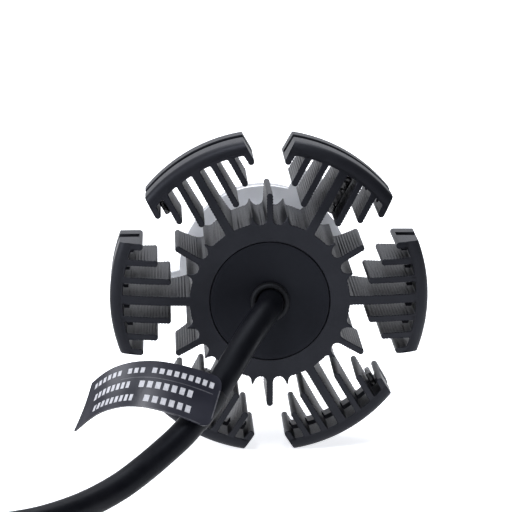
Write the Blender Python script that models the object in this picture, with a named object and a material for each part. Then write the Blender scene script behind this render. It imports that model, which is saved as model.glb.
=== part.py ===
"""LED headlight bulb with a fanless finned heatsink, a turning flange and a short lead.

The bulb's axis is Y and its beam end points along +Y. Z is up. The origin is on the axis,
in the plane where the flange's lugs sit against the lamp.
"""

import math

import bmesh
import bpy
from mathutils import Matrix, Vector

MM = 0.001

# Driving dimensions: the heatsink
REAR_Y = -32.0 * MM
HUB_DEPTH = 22.0 * MM
HUB_VALLEY_R = 15.05 * MM
RIM_R = 30.4 * MM
RIM_INNER_R = 27.9 * MM
ARM_COUNT = 6
ARM_HALF_WIDTH = 10.8 * MM
SPOKE_HALF = 0.9 * MM
SPOKE_JOIN = 0.05 * MM
FIN_THICK = 1.25 * MM
# each fin beside a spoke: (distance of its middle from the spoke's, distance of its tip from the axis)
ARM_FINS = ((10.175 * MM, 24.0 * MM), (7.15 * MM, 21.2 * MM), (3.75 * MM, 18.7 * MM))
SLOT_R = 26.9 * MM
SLOT_FROM = 9.4 * MM
SLOT_TO = 12.5 * MM
HUB_FIN_R = 20.4 * MM
HUB_TOOTH_R = 16.3 * MM
HUB_TOOTH_ANGLE = math.radians(11.6)
CAVITY_R = 10.2 * MM
CAVITY_DEPTH = 16.0 * MM
WIRE_HOLE_R = 2.2 * MM

# The cover and what it closes
COVER_R = 11.15 * MM
COVER_THICK = 1.6 * MM
COVER_DISH = 0.35 * MM
GAP = 0.3 * MM
RECESS_DEPTH = 2.8 * MM
BOARD_R = 9.6 * MM
BOARD_FROM = 7.0 * MM
BOARD_THICK = 1.2 * MM
SCREW_CIRCLE_R = 5.8 * MM

# The body and the LED blade
NECK_R = 10.5 * MM
NECK_END_Y = 6.0 * MM
BODY_END_Y = 9.0 * MM
BLADE_HALF_X = 1.5 * MM
BLADE_HALF_Z = 5.5 * MM
BLADE_END_Y = 42.0 * MM
BOARD_HALF_Z = 5.0 * MM
LED_BOARD_THICK = 1.0 * MM
BLADE_SCREW_YS = {"rear": 13.5 * MM, "front": 37.5 * MM}

# The flange and the sleeve that it turns on
FLANGE_R = 17.0 * MM
FLANGE_BORE_R = 12.5 * MM
FLANGE_THICK = 1.2 * MM
LUG_R = 21.5 * MM
LUG_ANGLES = (60, 191, 300)
LUG_WIDTHS = (8.0 * MM, 6.0 * MM, 6.0 * MM)
SHELL_OUTER_R = 16.2 * MM
SHELL_INNER_R = 15.0 * MM
SHELL_END_Y = 7.0 * MM
SLEEVE_BORE_R = 10.8 * MM
SLEEVE_R = 13.2 * MM
SET_SCREW_Y = -4.2 * MM

# The lead. It rests on a level surface under the heatsink.
CORD_D = 5.0 * MM
REST_Z = -30.1 * MM
CORD_ROUTE = [
    (0.0, -31.7, 0.0), (0.0, -34.6, 0.0), (-1.0, -39.0, -0.45), (-3.7, -44.9, -2.7),
    (-6.6, -50.1, -6.1), (-9.8, -54.8, -10.2), (-13.1, -58.3, -14.4), (-16.6, -61.0, -18.2),
    (-20.2, -63.5, -21.0), (-23.7, -66.2, -23.3), (-27.4, -69.5, -25.2), (-31.8, -73.7, -26.5),
    (-36.9, -79.1, -27.1), (-43.2, -84.3, -27.45), (-51.0, -87.8, -27.4), (-61.9, -89.0, -26.9),
]
COIL_CENTRE = (-78.5 * MM, -64.0 * MM)
COIL_R = 25.0 * MM
COIL_WIDTH = 5.2 * MM
COIL_HEIGHT = 10.0 * MM
TIE_THICK = 0.5 * MM
TAIL_ROUTE = [
    (-103.5, -47.2, -22.1), (-103.4, -45.2, -22.1), (-102.8, -41.7, -22.0), (-100.75, -37.9, -21.9),
    (-98.7, -34.1, -21.7), (-98.1, -30.6, -21.6), (-98.0, -27.8, -21.6),
]
POINT_SPACING = 4.5 * MM

# The plug on the lead's end
PLUG_X = -98.0 * MM
PLUG_Z = -21.6 * MM
PLUG_REAR_Y = -18.0 * MM
PLUG_LENGTH = 22.0 * MM
PLUG_HALF_X = 9.5 * MM
PLUG_HALF_Z = 8.5 * MM
BLADE_PITCH = 8.0 * MM

# The label: points along its upper long edge, and the way to its lower one
LABEL_EDGE = [
    (-9.3, -58.6, -8.6), (-13.7, -59.2, -6.8), (-17.6, -59.6, -5.6), (-21.6, -59.3, -5.0),
    (-25.5, -58.3, -5.4), (-28.8, -57.0, -6.6), (-31.0, -56.0, -8.1), (-33.1, -54.8, -10.1),
]
LABEL_DOWN = Vector((-2.8, -4.5, -8.1)) * MM
LABEL_THICK = 0.5 * MM


def clear_scene():
    for existing in list(bpy.data.objects):
        bpy.data.objects.remove(existing, do_unlink=True)


def paint(obj, colour, roughness, metallic):
    """A Principled material of the object's own."""
    made = bpy.data.materials.new(obj.name)
    made.use_nodes = True
    shader = made.node_tree.nodes["Principled BSDF"]
    shader.inputs["Base Color"].default_value = (*colour, 1.0)
    shader.inputs["Roughness"].default_value = roughness
    shader.inputs["Metallic"].default_value = metallic
    obj.data.materials.clear()
    obj.data.materials.append(made)


BLACK_ALUMINIUM = ((0.022, 0.023, 0.028), 0.5, 0.6)
SATIN_BLACK = ((0.018, 0.018, 0.02), 0.5, 0.0)
BLACK_RUBBER = ((0.012, 0.012, 0.013), 0.65, 0.0)
SILVER = ((0.82, 0.83, 0.85), 0.28, 1.0)
STEEL = ((0.55, 0.56, 0.58), 0.35, 1.0)
COPPER = ((0.72, 0.38, 0.22), 0.35, 1.0)
BRASS = ((0.72, 0.57, 0.28), 0.35, 1.0)
BOARD_GREEN = ((0.02, 0.12, 0.05), 0.5, 0.0)
WHITE_MASK = ((0.8, 0.8, 0.78), 0.5, 0.0)
PHOSPHOR = ((0.85, 0.72, 0.15), 0.4, 0.0)


def finished(name, bm, look):
    """An object of this shape, smooth but for its edges over 35 degrees."""
    bmesh.ops.recalc_face_normals(bm, faces=bm.faces)
    mesh = bpy.data.meshes.new(name)
    bm.to_mesh(mesh)
    bm.free()
    mesh.shade_smooth()
    mesh.set_sharp_from_angle(angle=math.radians(35))
    obj = bpy.data.objects.new(name, mesh)
    bpy.context.scene.collection.objects.link(obj)
    paint(obj, *look)
    return obj


def turned(name, profile, look, steps=48):
    """A shape turned about Y from (radius, y) points: a closed outline, or one with its ends on the axis."""
    bm = bmesh.new()
    points = [bm.verts.new((radius, y, 0.0)) for radius, y in profile]
    open_ended = profile[0][0] == 0.0 and profile[-1][0] == 0.0
    pairs = list(zip(points, points[1:]))
    if not open_ended:
        pairs.append((points[-1], points[0]))
    edges = [bm.edges.new(pair) for pair in pairs]
    bmesh.ops.spin(
        bm, geom=points + edges, cent=(0, 0, 0), axis=(0, 1, 0),
        angle=math.tau, steps=steps, use_merge=True, use_duplicate=False,
    )
    bmesh.ops.remove_doubles(bm, verts=bm.verts, dist=1e-7)
    return finished(name, bm, look)


def extruded(bm, outline, y_from, y_to):
    """A prism along Y of an outline of (x, z) points, with its caps in triangles."""
    near = [bm.verts.new((x, y_from, z)) for x, z in outline]
    far = [bm.verts.new((x, y_to, z)) for x, z in outline]
    caps = [bm.faces.new(near), bm.faces.new(far[::-1])]
    for i in range(len(outline)):
        j = (i + 1) % len(outline)
        bm.faces.new((near[j], near[i], far[i], far[j]))
    bm.normal_update()
    bmesh.ops.triangulate(bm, faces=caps)
    return near, far


def prism(name, outline, y_from, y_to, look):
    bm = bmesh.new()
    extruded(bm, outline, y_from, y_to)
    return finished(name, bm, look)


def block(name, low, high, look, bevel=0.0):
    """A box between two corners, its edges bevelled if asked."""
    bm = bmesh.new()
    bmesh.ops.create_cube(bm, size=1.0)
    for vert in bm.verts:
        vert.co = [low[k] if vert.co[k] < 0 else high[k] for k in range(3)]
    if bevel:
        bmesh.ops.bevel(bm, geom=list(bm.edges), offset=bevel, segments=2, affect="EDGES", profile=0.5)
    return finished(name, bm, look)


def arc(radius, start, end, steps, centre=(0.0, 0.0)):
    """Points on an arc, angles in radians, both ends included."""
    angles = [start + (end - start) * i / steps for i in range(steps + 1)]
    return [(centre[0] + radius * math.cos(a), centre[1] + radius * math.sin(a)) for a in angles]


def cut(obj, cutter, operation="DIFFERENCE"):
    """A Boolean with a helper that isn't part of the bulb."""
    cutter.hide_render = True
    cutter.display_type = "WIRE"
    step = obj.modifiers.new(cutter.name, "BOOLEAN")
    step.operation = operation
    step.object = cutter
    step.solver = "EXACT"


def hole_along_y(obj, x, z, radius, y_from, y_to, steps=12):
    cutter = turned(
        f"{obj.name}_hole_{len(obj.modifiers)}",
        [(0.0, y_from), (radius, y_from), (radius, y_to), (0.0, y_to)], STEEL, steps,
    )
    cutter.location = (x, 0.0, z)
    cut(obj, cutter)


def hole_along_x(obj, y, z, radius, reach, steps=12):
    cutter = turned(
        f"{obj.name}_hole_{len(obj.modifiers)}",
        [(0.0, -reach), (radius, -reach), (radius, reach), (0.0, reach)], STEEL, steps,
    )
    cutter.rotation_euler = (0.0, 0.0, math.radians(90))
    cutter.location = (0.0, y, z)
    cut(obj, cutter)


def smooth_route(route, samples=24):
    """A smooth curve through a route's points (millimetres), as metres: a centripetal Catmull-Rom spline."""
    points = [Vector(p) * MM for p in route]
    points = [2 * points[0] - points[1], *points, 2 * points[-1] - points[-2]]
    curve = []
    for p0, p1, p2, p3 in zip(points, points[1:], points[2:], points[3:]):
        t1 = (p1 - p0).length ** 0.5
        t2 = t1 + (p2 - p1).length ** 0.5
        t3 = t2 + (p3 - p2).length ** 0.5
        for i in range(samples):
            t = t1 + (t2 - t1) * i / samples
            a1 = p0.lerp(p1, t / t1)
            a2 = p1.lerp(p2, (t - t1) / (t2 - t1))
            a3 = p2.lerp(p3, (t - t2) / (t3 - t2))
            b1 = a1.lerp(a2, t / t2)
            b2 = a2.lerp(a3, (t - t1) / (t3 - t1))
            curve.append(b1.lerp(b2, (t - t1) / (t2 - t1)))
    curve.append(points[-2])
    return curve


def evenly(curve, spacing):
    """Points about this far apart along a curve, its two ends among them."""
    along = [0.0]
    for a, b in zip(curve, curve[1:]):
        along.append(along[-1] + (b - a).length)
    count = max(2, round(along[-1] / spacing))
    found, k = [], 0
    for i in range(count + 1):
        at = along[-1] * i / count
        while k < len(along) - 2 and along[k + 1] < at:
            k += 1
        found.append(curve[k].lerp(curve[k + 1], (at - along[k]) / (along[k + 1] - along[k])))
    return found


def tube(name, points, diameter, look, resolution=2):
    """A round cord along points: a POLY spline with a bevel and filled caps."""
    line = bpy.data.curves.new(name, "CURVE")
    line.dimensions = "3D"
    line.bevel_depth = diameter / 2
    line.bevel_resolution = resolution
    line.use_fill_caps = True
    spline = line.splines.new("POLY")
    spline.points.add(len(points) - 1)
    for spot, point in zip(spline.points, points):
        spot.co = (*point, 1.0)
    obj = bpy.data.objects.new(name, line)
    bpy.context.scene.collection.objects.link(obj)
    paint(obj, *look)
    return obj


# ---- The heatsink ----


def rear_set_back(radius):
    """How far forward the heatsink's rear face lies at a radius: flat at the hub, domed over the arms."""
    return 3.0 * MM * max(0.0, (radius - 15.3 * MM) / (14.7 * MM)) ** 2


def front_reach(radius):
    """How far forward the heatsink goes at a radius."""
    steps = ((15.3, 22.0), (17.0, 19.6), (19.5, 17.8), (23.0, 17.0), (26.0, 16.7), (30.0, 16.5))
    if radius <= steps[0][0] * MM:
        return steps[0][1] * MM
    for (r0, s0), (r1, s1) in zip(steps, steps[1:]):
        if radius <= r1 * MM:
            share = (radius / MM - r0) / (r1 - r0)
            return (s0 + (s1 - s0) * share) * MM
    return steps[-1][1] * MM


def along_side(v, u_from, u_to, longest=4.6 * MM):
    """Points along a fin's straight side, near enough together to follow the domed faces."""
    count = max(1, math.ceil(abs(u_to - u_from) / longest))
    return [(u_from + (u_to - u_from) * i / count, v) for i in range(count + 1)]


def arm_outline():
    """One arm, its spoke along +u: a curved rim with a spoke and three fins on each side of it."""
    corner = math.asin(ARM_HALF_WIDTH / RIM_R)
    points = arc(RIM_R, 0.0, corner, 4)
    half = FIN_THICK / 2
    side = points[-1][0]
    for middle, tip in ARM_FINS:
        outer, inner = middle + half, middle - half
        points += along_side(outer, side, tip + half)[1:]
        points += arc(half, math.radians(90), math.radians(270), 3, (tip + half, middle))[1:-1]
        side = math.sqrt(RIM_INNER_R**2 - inner**2)
        points += along_side(inner, tip + half, side)
        following = [m + half for m, _ in ARM_FINS if m < middle] or [SPOKE_HALF]
        side = math.sqrt(RIM_INNER_R**2 - following[0] ** 2)
        points.append((side, following[0]))
    points += along_side(SPOKE_HALF, side, HUB_VALLEY_R + SPOKE_JOIN)[1:]
    return [(u, -v) for u, v in points[:0:-1]] + points


def hub_outline():
    """The hub: between two spokes it has a tooth, a long fin with a valley on each side, and a tooth."""
    half = FIN_THICK / 2
    middle = math.radians(180 / ARM_COUNT)
    tooth = middle - HUB_TOOTH_ANGLE
    points = arc(HUB_VALLEY_R, 0.0, tooth - math.radians(2.6), 4)
    points += arc(HUB_TOOTH_R, tooth - math.radians(0.7), tooth + math.radians(0.7), 1)
    fin_root = middle - math.asin(half / (HUB_VALLEY_R - 0.3 * MM))
    points += arc(HUB_VALLEY_R - 0.4 * MM, tooth + math.radians(2.4), fin_root - math.radians(1.2), 3)
    axis = Vector((math.cos(middle), math.sin(middle)))
    across = Vector((math.sin(middle), -math.cos(middle)))
    for reach in (15.4 * MM, 18.0 * MM, HUB_FIN_R - half):
        spot = axis * reach + across * half
        points.append((spot.x, spot.y))
    for turn in (45, 90):
        spot = axis * (HUB_FIN_R - half) + axis * half * math.sin(math.radians(turn))
        spot += across * half * math.cos(math.radians(turn))
        points.append((spot.x, spot.y))
    whole = [(u, -v) for u, v in points[:0:-1]] + points[:-1]
    outline = []
    for arm in range(ARM_COUNT):
        turn = math.tau * arm / ARM_COUNT
        outline += [
            (u * math.cos(turn) - v * math.sin(turn), u * math.sin(turn) + v * math.cos(turn))
            for u, v in whole
        ]
    return outline


def domed(name, outline):
    """A prism of the heatsink's depth, its two faces following the dome and the front steps."""
    bm = bmesh.new()
    near, far = extruded(bm, outline, 0.0, HUB_DEPTH)
    for vert in near:
        vert.co.y = REAR_Y + rear_set_back(math.hypot(vert.co.x, vert.co.z))
    for vert in far:
        vert.co.y = REAR_Y + front_reach(math.hypot(vert.co.x, vert.co.z))
    return finished(name, bm, BLACK_ALUMINIUM)


def make_heatsink():
    hub = domed("heatsink_hub", hub_outline())
    recess_r = COVER_R + GAP
    cavity = turned("driver_cavity", [
        (0.0, REAR_Y - 1 * MM), (recess_r, REAR_Y - 1 * MM), (recess_r, REAR_Y + RECESS_DEPTH),
        (CAVITY_R, REAR_Y + RECESS_DEPTH), (CAVITY_R, REAR_Y + CAVITY_DEPTH), (0.0, REAR_Y + CAVITY_DEPTH),
    ], BLACK_ALUMINIUM, 48)
    cut(hub, cavity)
    wall_from, wall_to = REAR_Y + CAVITY_DEPTH - MM, REAR_Y + HUB_DEPTH + MM
    hole_along_y(hub, 0.0, 0.0, WIRE_HOLE_R, wall_from, wall_to)
    for x, z in screw_places():
        hole_along_y(hub, x, z, 1.3 * MM, wall_from, wall_to, 8)
    slot = turned("rim_slot", [
        (SLOT_R, REAR_Y + SLOT_FROM), (RIM_R + MM, REAR_Y + SLOT_FROM),
        (RIM_R + MM, REAR_Y + SLOT_TO), (SLOT_R, REAR_Y + SLOT_TO),
    ], BLACK_ALUMINIUM, 60)
    for number in range(ARM_COUNT):
        arm = domed(f"heatsink_arm_{number + 1}", arm_outline())
        arm.rotation_euler = (0.0, -math.tau * number / ARM_COUNT, 0.0)
        cut(arm, slot)


def make_damper_pads():
    """Black rubber pads pressed into four valleys of the arms, a quarter turn apart.

    Each entry is the spoke's angle, the pad's place across the spoke, its half width and its two reaches.
    """
    short = (8.66 * MM, 0.5 * MM, 23.2 * MM, 25.9 * MM)
    long = (-1.99 * MM, 0.75 * MM, 19.4 * MM, 27.2 * MM)
    for number, (angle, kind) in enumerate(((120, short), (60, long), (300, short), (240, long)), 1):
        middle, half, u_from, u_to = kind
        pad = block(
            f"damper_pad_{number}", (u_from, REAR_Y + 6.2 * MM, middle - half),
            (u_to, REAR_Y + 11.8 * MM, middle + half), BLACK_RUBBER, 0.15 * MM,
        )
        pad.rotation_euler = (0.0, -math.radians(angle), 0.0)


def screw_places():
    angles = [math.radians(90 + 120 * i) for i in range(3)]
    return [(SCREW_CIRCLE_R * math.cos(a), SCREW_CIRCLE_R * math.sin(a)) for a in angles]


# ---- The cover, the grommet and the driver ----


def make_cover():
    rear, inner = REAR_Y, REAR_Y + COVER_THICK
    turned("rear_cover", [
        (3.45 * MM, rear + COVER_DISH), (7.5 * MM, rear + 0.24 * MM), (10.2 * MM, rear + 0.06 * MM),
        (COVER_R - 0.3 * MM, rear), (COVER_R, rear + 0.3 * MM), (COVER_R, inner), (3.45 * MM, inner),
    ], SATIN_BLACK, 40)
    turned("cover_seal", [
        (10.5 * MM, inner + GAP), (COVER_R, inner + GAP),
        (COVER_R, inner + 0.9 * MM), (10.5 * MM, inner + 0.9 * MM),
    ], BLACK_RUBBER, 32)


def make_grommet():
    """A rubber collar in the cover's hole, with a socket for the lead and a flange inside."""
    rear = REAR_Y - 1.5 * MM
    turned("cord_grommet", [
        (0.0, REAR_Y + 0.6 * MM), (2.9 * MM, REAR_Y + 0.6 * MM), (2.9 * MM, rear + 0.15 * MM),
        (3.1 * MM, rear), (3.4 * MM, rear), (3.7 * MM, rear + 0.4 * MM), (3.7 * MM, REAR_Y + 0.0 * MM),
        (3.15 * MM, REAR_Y + 0.05 * MM), (3.15 * MM, REAR_Y + COVER_THICK + GAP),
        (4.2 * MM, REAR_Y + COVER_THICK + GAP), (4.2 * MM, REAR_Y + 2.7 * MM), (0.0, REAR_Y + 2.7 * MM),
    ], BLACK_RUBBER, 20)


def standing(name, x, z, profile, look, steps=14):
    obj = turned(name, profile, look, steps)
    obj.location = (x, 0.0, z)
    return obj


def make_driver():
    """The driver board in the hub, its parts, the spacer in front of it and the wires to it."""
    board_rear = REAR_Y + BOARD_FROM
    board_front = board_rear + BOARD_THICK
    turned("driver_board", [
        (0.0, board_rear), (BOARD_R, board_rear), (BOARD_R, board_front), (0.0, board_front),
    ], BOARD_GREEN, 32)
    top = board_rear - GAP
    standing("driver_inductor", 0.0, -5.4 * MM, [
        (0.0, top - 3.2 * MM), (3.0 * MM, top - 3.2 * MM), (3.0 * MM, top - 2.5 * MM),
        (2.4 * MM, top - 2.4 * MM), (2.4 * MM, top - 0.8 * MM), (3.0 * MM, top - 0.7 * MM),
        (3.0 * MM, top), (0.0, top),
    ], COPPER)
    for name, x in (("driver_capacitor_left", -4.8 * MM), ("driver_capacitor_right", 4.8 * MM)):
        standing(name, x, 3.2 * MM, [
            (0.0, top - 3.2 * MM), (1.6 * MM, top - 3.2 * MM), (1.9 * MM, top - 2.9 * MM),
            (1.9 * MM, top), (0.0, top),
        ], STEEL)
    chip_from = board_front + GAP
    block(
        "driver_chip", (-2.8 * MM, chip_from, 2.8 * MM), (2.8 * MM, chip_from + 1.3 * MM, 6.4 * MM),
        SATIN_BLACK, 0.12 * MM,
    )
    spacer_end = REAR_Y + CAVITY_DEPTH - GAP
    turned("board_spacer", [
        (8.3 * MM, chip_from), (BOARD_R, chip_from), (BOARD_R, spacer_end), (8.3 * MM, spacer_end),
    ], WHITE_MASK, 32)
    wire_from = REAR_Y + 2.7 * MM + GAP
    for name, x, z, colour in (
        ("lead_wire_ground", -1.3, 0.9, (0.01, 0.01, 0.01)),
        ("lead_wire_low", 1.3, 0.9, (0.5, 0.03, 0.02)),
        ("lead_wire_high", 0.0, -1.1, (0.6, 0.6, 0.58)),
    ):
        bow = 0.35 * MM
        ends = [(x * MM, wire_from, z * MM), (x * MM, board_rear - GAP, z * MM)]
        middle = (x * MM + bow, (wire_from + board_rear) / 2, z * MM)
        tube(name, [Vector(ends[0]), Vector(middle), Vector(ends[1])], 1.1 * MM, (colour, 0.5, 0.0))


def make_led_wires():
    """Two wires from the board, through the hub's wall and the body, to the blade's root."""
    start = REAR_Y + BOARD_FROM + BOARD_THICK + GAP
    for name, side, colour in (
        ("led_wire_left", -1.0, (0.5, 0.03, 0.02)),
        ("led_wire_right", 1.0, (0.01, 0.01, 0.01)),
    ):
        points = [Vector((side * 0.95 * MM, start + (1.6 * MM - start) * i / 4, 0.0)) for i in range(5)]
        tube(name, points, 1.1 * MM, (colour, 0.5, 0.0))


def make_body_screws():
    """Three screws through the hub's front wall into the body."""
    head_from = REAR_Y + CAVITY_DEPTH - GAP - 1.8 * MM
    head_to = REAR_Y + CAVITY_DEPTH - GAP
    shank_to = REAR_Y + 26.0 * MM
    for number, (x, z) in enumerate(screw_places(), 1):
        screw = standing(f"body_screw_{number}", x, z, [
            (0.0, head_from + 0.9 * MM), (1.0 * MM, head_from + 0.9 * MM), (1.0 * MM, head_from),
            (1.9 * MM, head_from), (2.2 * MM, head_from + 0.3 * MM), (2.2 * MM, head_to),
            (1.0 * MM, head_to), (1.0 * MM, shank_to), (0.0, shank_to),
        ], STEEL, 12)
        screw.data.shade_smooth()


# ---- The body and the blade ----


def make_body():
    base = REAR_Y + HUB_DEPTH + GAP
    body = turned("lamp_body", [
        (0.0, base), (13.5 * MM, base), (13.5 * MM, base + 2.2 * MM), (NECK_R, base + 2.2 * MM),
        (NECK_R, -1.2 * MM), (9.6 * MM, -1.2 * MM), (9.6 * MM, 0.2 * MM), (NECK_R, 0.2 * MM),
        (NECK_R, NECK_END_Y), (8.6 * MM, BODY_END_Y), (0.0, BODY_END_Y),
    ], BLACK_ALUMINIUM, 40)
    hole_along_y(body, 0.0, 0.0, WIRE_HOLE_R, base - MM, 3.0 * MM)
    for x, z in screw_places():
        hole_along_y(body, x, z, 1.3 * MM, base - MM, REAR_Y + 26.5 * MM, 8)
    half_x, half_z = BLADE_HALF_X + GAP, BLADE_HALF_Z + GAP
    cut(body, block(
        "blade_socket", (-half_x, 2.0 * MM, -half_z), (half_x, BODY_END_Y + MM, half_z), STEEL,
    ))
    turned("neck_ring", [
        (9.9 * MM, -0.9 * MM), (10.3 * MM, -0.9 * MM), (10.5 * MM, -0.5 * MM), (10.3 * MM, -0.1 * MM),
        (9.9 * MM, -0.1 * MM),
    ], BLACK_RUBBER, 32)


def make_blade():
    """The copper blade with a board, two LED rows and a shield on each side, four screws and an end cap."""
    blade = block(
        "core_blade", (-BLADE_HALF_X, 2.3 * MM, -BLADE_HALF_Z),
        (BLADE_HALF_X, BLADE_END_Y, BLADE_HALF_Z), COPPER,
    )
    for y in BLADE_SCREW_YS.values():
        hole_along_x(blade, y, 0.0, 0.9 * MM, 4.0 * MM)
    for side_name, side in (("left", -1.0), ("right", 1.0)):
        make_blade_side(side_name, side)
    cap_from = BLADE_END_Y + GAP
    turned("front_cap", [
        (0.0, cap_from), (6.6 * MM, cap_from), (7.0 * MM, cap_from + 0.4 * MM), (7.0 * MM, 44.5 * MM),
        (6.6 * MM, 46.3 * MM), (5.4 * MM, 47.8 * MM), (3.4 * MM, 48.8 * MM), (0.0, 49.2 * MM),
    ], SATIN_BLACK, 28)


def mirrored_block(name, side, low, high, look, bevel=0.0):
    """A block given for the right side, on the side asked for."""
    xs = sorted((side * low[0], side * high[0]))
    return block(name, (xs[0], *low[1:]), (xs[1], *high[1:]), look, bevel)


def make_blade_side(side_name, side):
    board_in = BLADE_HALF_X + GAP
    board_out = board_in + LED_BOARD_THICK
    board = mirrored_block(
        f"led_board_{side_name}", side, (board_in, BODY_END_Y + GAP, -BOARD_HALF_Z),
        (board_out, 40.5 * MM, BOARD_HALF_Z), COPPER,
    )
    led_in = board_out + GAP
    for row, y_from, y_to in (("high", 17.5 * MM, 23.5 * MM), ("low", 27.5 * MM, 33.5 * MM)):
        mirrored_block(
            f"led_{row}_{side_name}", side, (led_in, y_from, -1.1 * MM),
            (led_in + 0.6 * MM, y_to, 1.1 * MM), PHOSPHOR, 0.1 * MM,
        )
    for place, y in BLADE_SCREW_YS.items():
        hole_along_x(board, y, 0.0, 0.9 * MM, 4.0 * MM)
        screw = turned(f"board_screw_{side_name}_{place}", [
            (0.0, 0.35 * MM), (0.6 * MM, 0.35 * MM), (0.6 * MM, led_in), (1.5 * MM, led_in),
            (1.5 * MM, led_in + 0.5 * MM), (1.1 * MM, led_in + 0.9 * MM), (0.0, led_in + 0.9 * MM),
        ], BRASS, 12)
        screw.rotation_euler = (0.0, 0.0, -side * math.radians(90))
        screw.location = (0.0, y, 0.0)
    # the shield: a scoop under the low-beam LEDs, closed at its front end
    foot = led_in
    outer = arc(4.8 * MM, math.radians(-100), math.radians(-12), 6, (foot + 0.9 * MM, 0.6 * MM))
    inner = arc(4.2 * MM, math.radians(-12), math.radians(-100), 6, (foot + 0.9 * MM, 0.6 * MM))
    scoop = prism(
        f"low_beam_shield_{side_name}", [(side * x, z) for x, z in outer + inner],
        25.5 * MM, 36.0 * MM, STEEL,
    )
    end_wall = prism(
        f"shield_end_{side_name}", [(side * x, z) for x, z in outer + [(foot + 0.9 * MM, 0.2 * MM)]],
        35.3 * MM, 36.2 * MM, STEEL,
    )
    cut(scoop, end_wall, "UNION")


# ---- The flange, its sleeve and the set screws ----


def make_flange():
    """The lamp seat: a plate with three lugs and a short shell in front. It turns on the sleeve."""
    flange = turned("flange", [
        (FLANGE_BORE_R, -FLANGE_THICK), (FLANGE_R - 0.2 * MM, -FLANGE_THICK), (FLANGE_R, -1.0 * MM),
        (FLANGE_R, 0.0), (SHELL_OUTER_R, 0.0), (SHELL_OUTER_R, SHELL_END_Y - 0.5 * MM),
        (SHELL_OUTER_R - 0.5 * MM, SHELL_END_Y), (SHELL_INNER_R, SHELL_END_Y), (SHELL_INNER_R, 0.0),
        (FLANGE_BORE_R, 0.0),
    ], SILVER, 48)
    for number, (angle, width) in enumerate(zip(LUG_ANGLES, LUG_WIDTHS), 1):
        half = math.asin(width / 2 / LUG_R)
        outline = arc(LUG_R, -half, half, 4)
        outline += [(16.6 * MM, width / 2), (16.6 * MM, -width / 2)]
        lug = prism(f"flange_lug_{number}", outline, -FLANGE_THICK, 0.0, SILVER)
        lug.rotation_euler = (0.0, -math.radians(angle), 0.0)
        cut(flange, lug, "UNION")


def make_sleeve():
    """The sleeve that slides on the neck, and the snap ring that keeps the flange on it."""
    sleeve = turned("collar_sleeve", [
        (SLEEVE_BORE_R, -6.5 * MM), (SLEEVE_R - 0.3 * MM, -6.5 * MM), (SLEEVE_R, -6.2 * MM),
        (SLEEVE_R, -1.5 * MM), (12.2 * MM, -1.5 * MM), (12.2 * MM, 0.1 * MM), (11.3 * MM, 0.1 * MM),
        (11.3 * MM, 1.4 * MM), (12.0 * MM, 1.4 * MM), (12.0 * MM, 2.2 * MM), (SLEEVE_BORE_R, 2.2 * MM),
    ], STEEL, 40)
    hole_along_x(sleeve, SET_SCREW_Y, 0.0, 1.5 * MM, 20.0 * MM, 12)
    ring = turned("snap_ring", [
        (11.6 * MM, 0.3 * MM), (13.4 * MM, 0.3 * MM), (13.4 * MM, 1.2 * MM), (11.6 * MM, 1.2 * MM),
    ], STEEL, 36)
    cut(ring, block(
        "snap_ring_gap", (-1.5 * MM, -MM, 9.0 * MM), (1.5 * MM, 3.0 * MM, 15.0 * MM), STEEL,
    ))
    for name, side in (("set_screw_left", -1.0), ("set_screw_right", 1.0)):
        screw = turned(name, [
            (0.0, 0.0), (0.8 * MM, 0.0), (1.2 * MM, 0.4 * MM), (1.2 * MM, 2.3 * MM), (1.0 * MM, 2.4 * MM),
            (0.65 * MM, 2.4 * MM), (0.65 * MM, 1.3 * MM), (0.0, 1.3 * MM),
        ], STEEL, 12)
        screw.rotation_euler = (0.0, 0.0, -side * math.radians(90))
        screw.location = (side * 10.8 * MM, SET_SCREW_Y, 0.0)


# ---- The lead, its coil, tie and plug, and the label on it ----


def make_lead():
    tube("power_cord", evenly(smooth_route(CORD_ROUTE), POINT_SPACING), CORD_D, BLACK_RUBBER, 2)
    tube("cord_tail", evenly(smooth_route(TAIL_ROUTE), 2.8 * MM), CORD_D, BLACK_RUBBER, 2)
    inner, outer = COIL_R - COIL_WIDTH / 2, COIL_R + COIL_WIDTH / 2
    half = COIL_HEIGHT / 2
    section = [(inner, -half), (outer, -half), (outer, half), (inner, half)]
    coil = turned("cord_coil", section, BLACK_RUBBER, 32)
    coil.rotation_euler = (math.radians(90), 0.0, 0.0)
    middle_z = REST_Z + TIE_THICK + GAP + half
    coil.location = (*COIL_CENTRE, middle_z)
    # the tie goes round both turns on the coil's near left side
    tie_inner = (COIL_WIDTH / 2 + GAP, half + GAP)
    tie_outer = (tie_inner[0] + 0.9 * MM, tie_inner[1] + TIE_THICK)
    tie = block(
        "cord_tie", (-tie_outer[0], -1.8 * MM, -tie_outer[1]), (tie_outer[0], 1.8 * MM, tie_outer[1]),
        SATIN_BLACK,
    )
    window = block(
        "tie_window", (-tie_inner[0], -3.0 * MM, -tie_inner[1]), (tie_inner[0], 3.0 * MM, tie_inner[1]),
        SATIN_BLACK,
    )
    cut(tie, window)
    angle = math.radians(225)
    for piece in (tie, window):
        piece.location = (
            COIL_CENTRE[0] + COIL_R * math.cos(angle), COIL_CENTRE[1] + COIL_R * math.sin(angle), middle_z,
        )
        piece.rotation_euler = (0.0, 0.0, angle)


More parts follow.
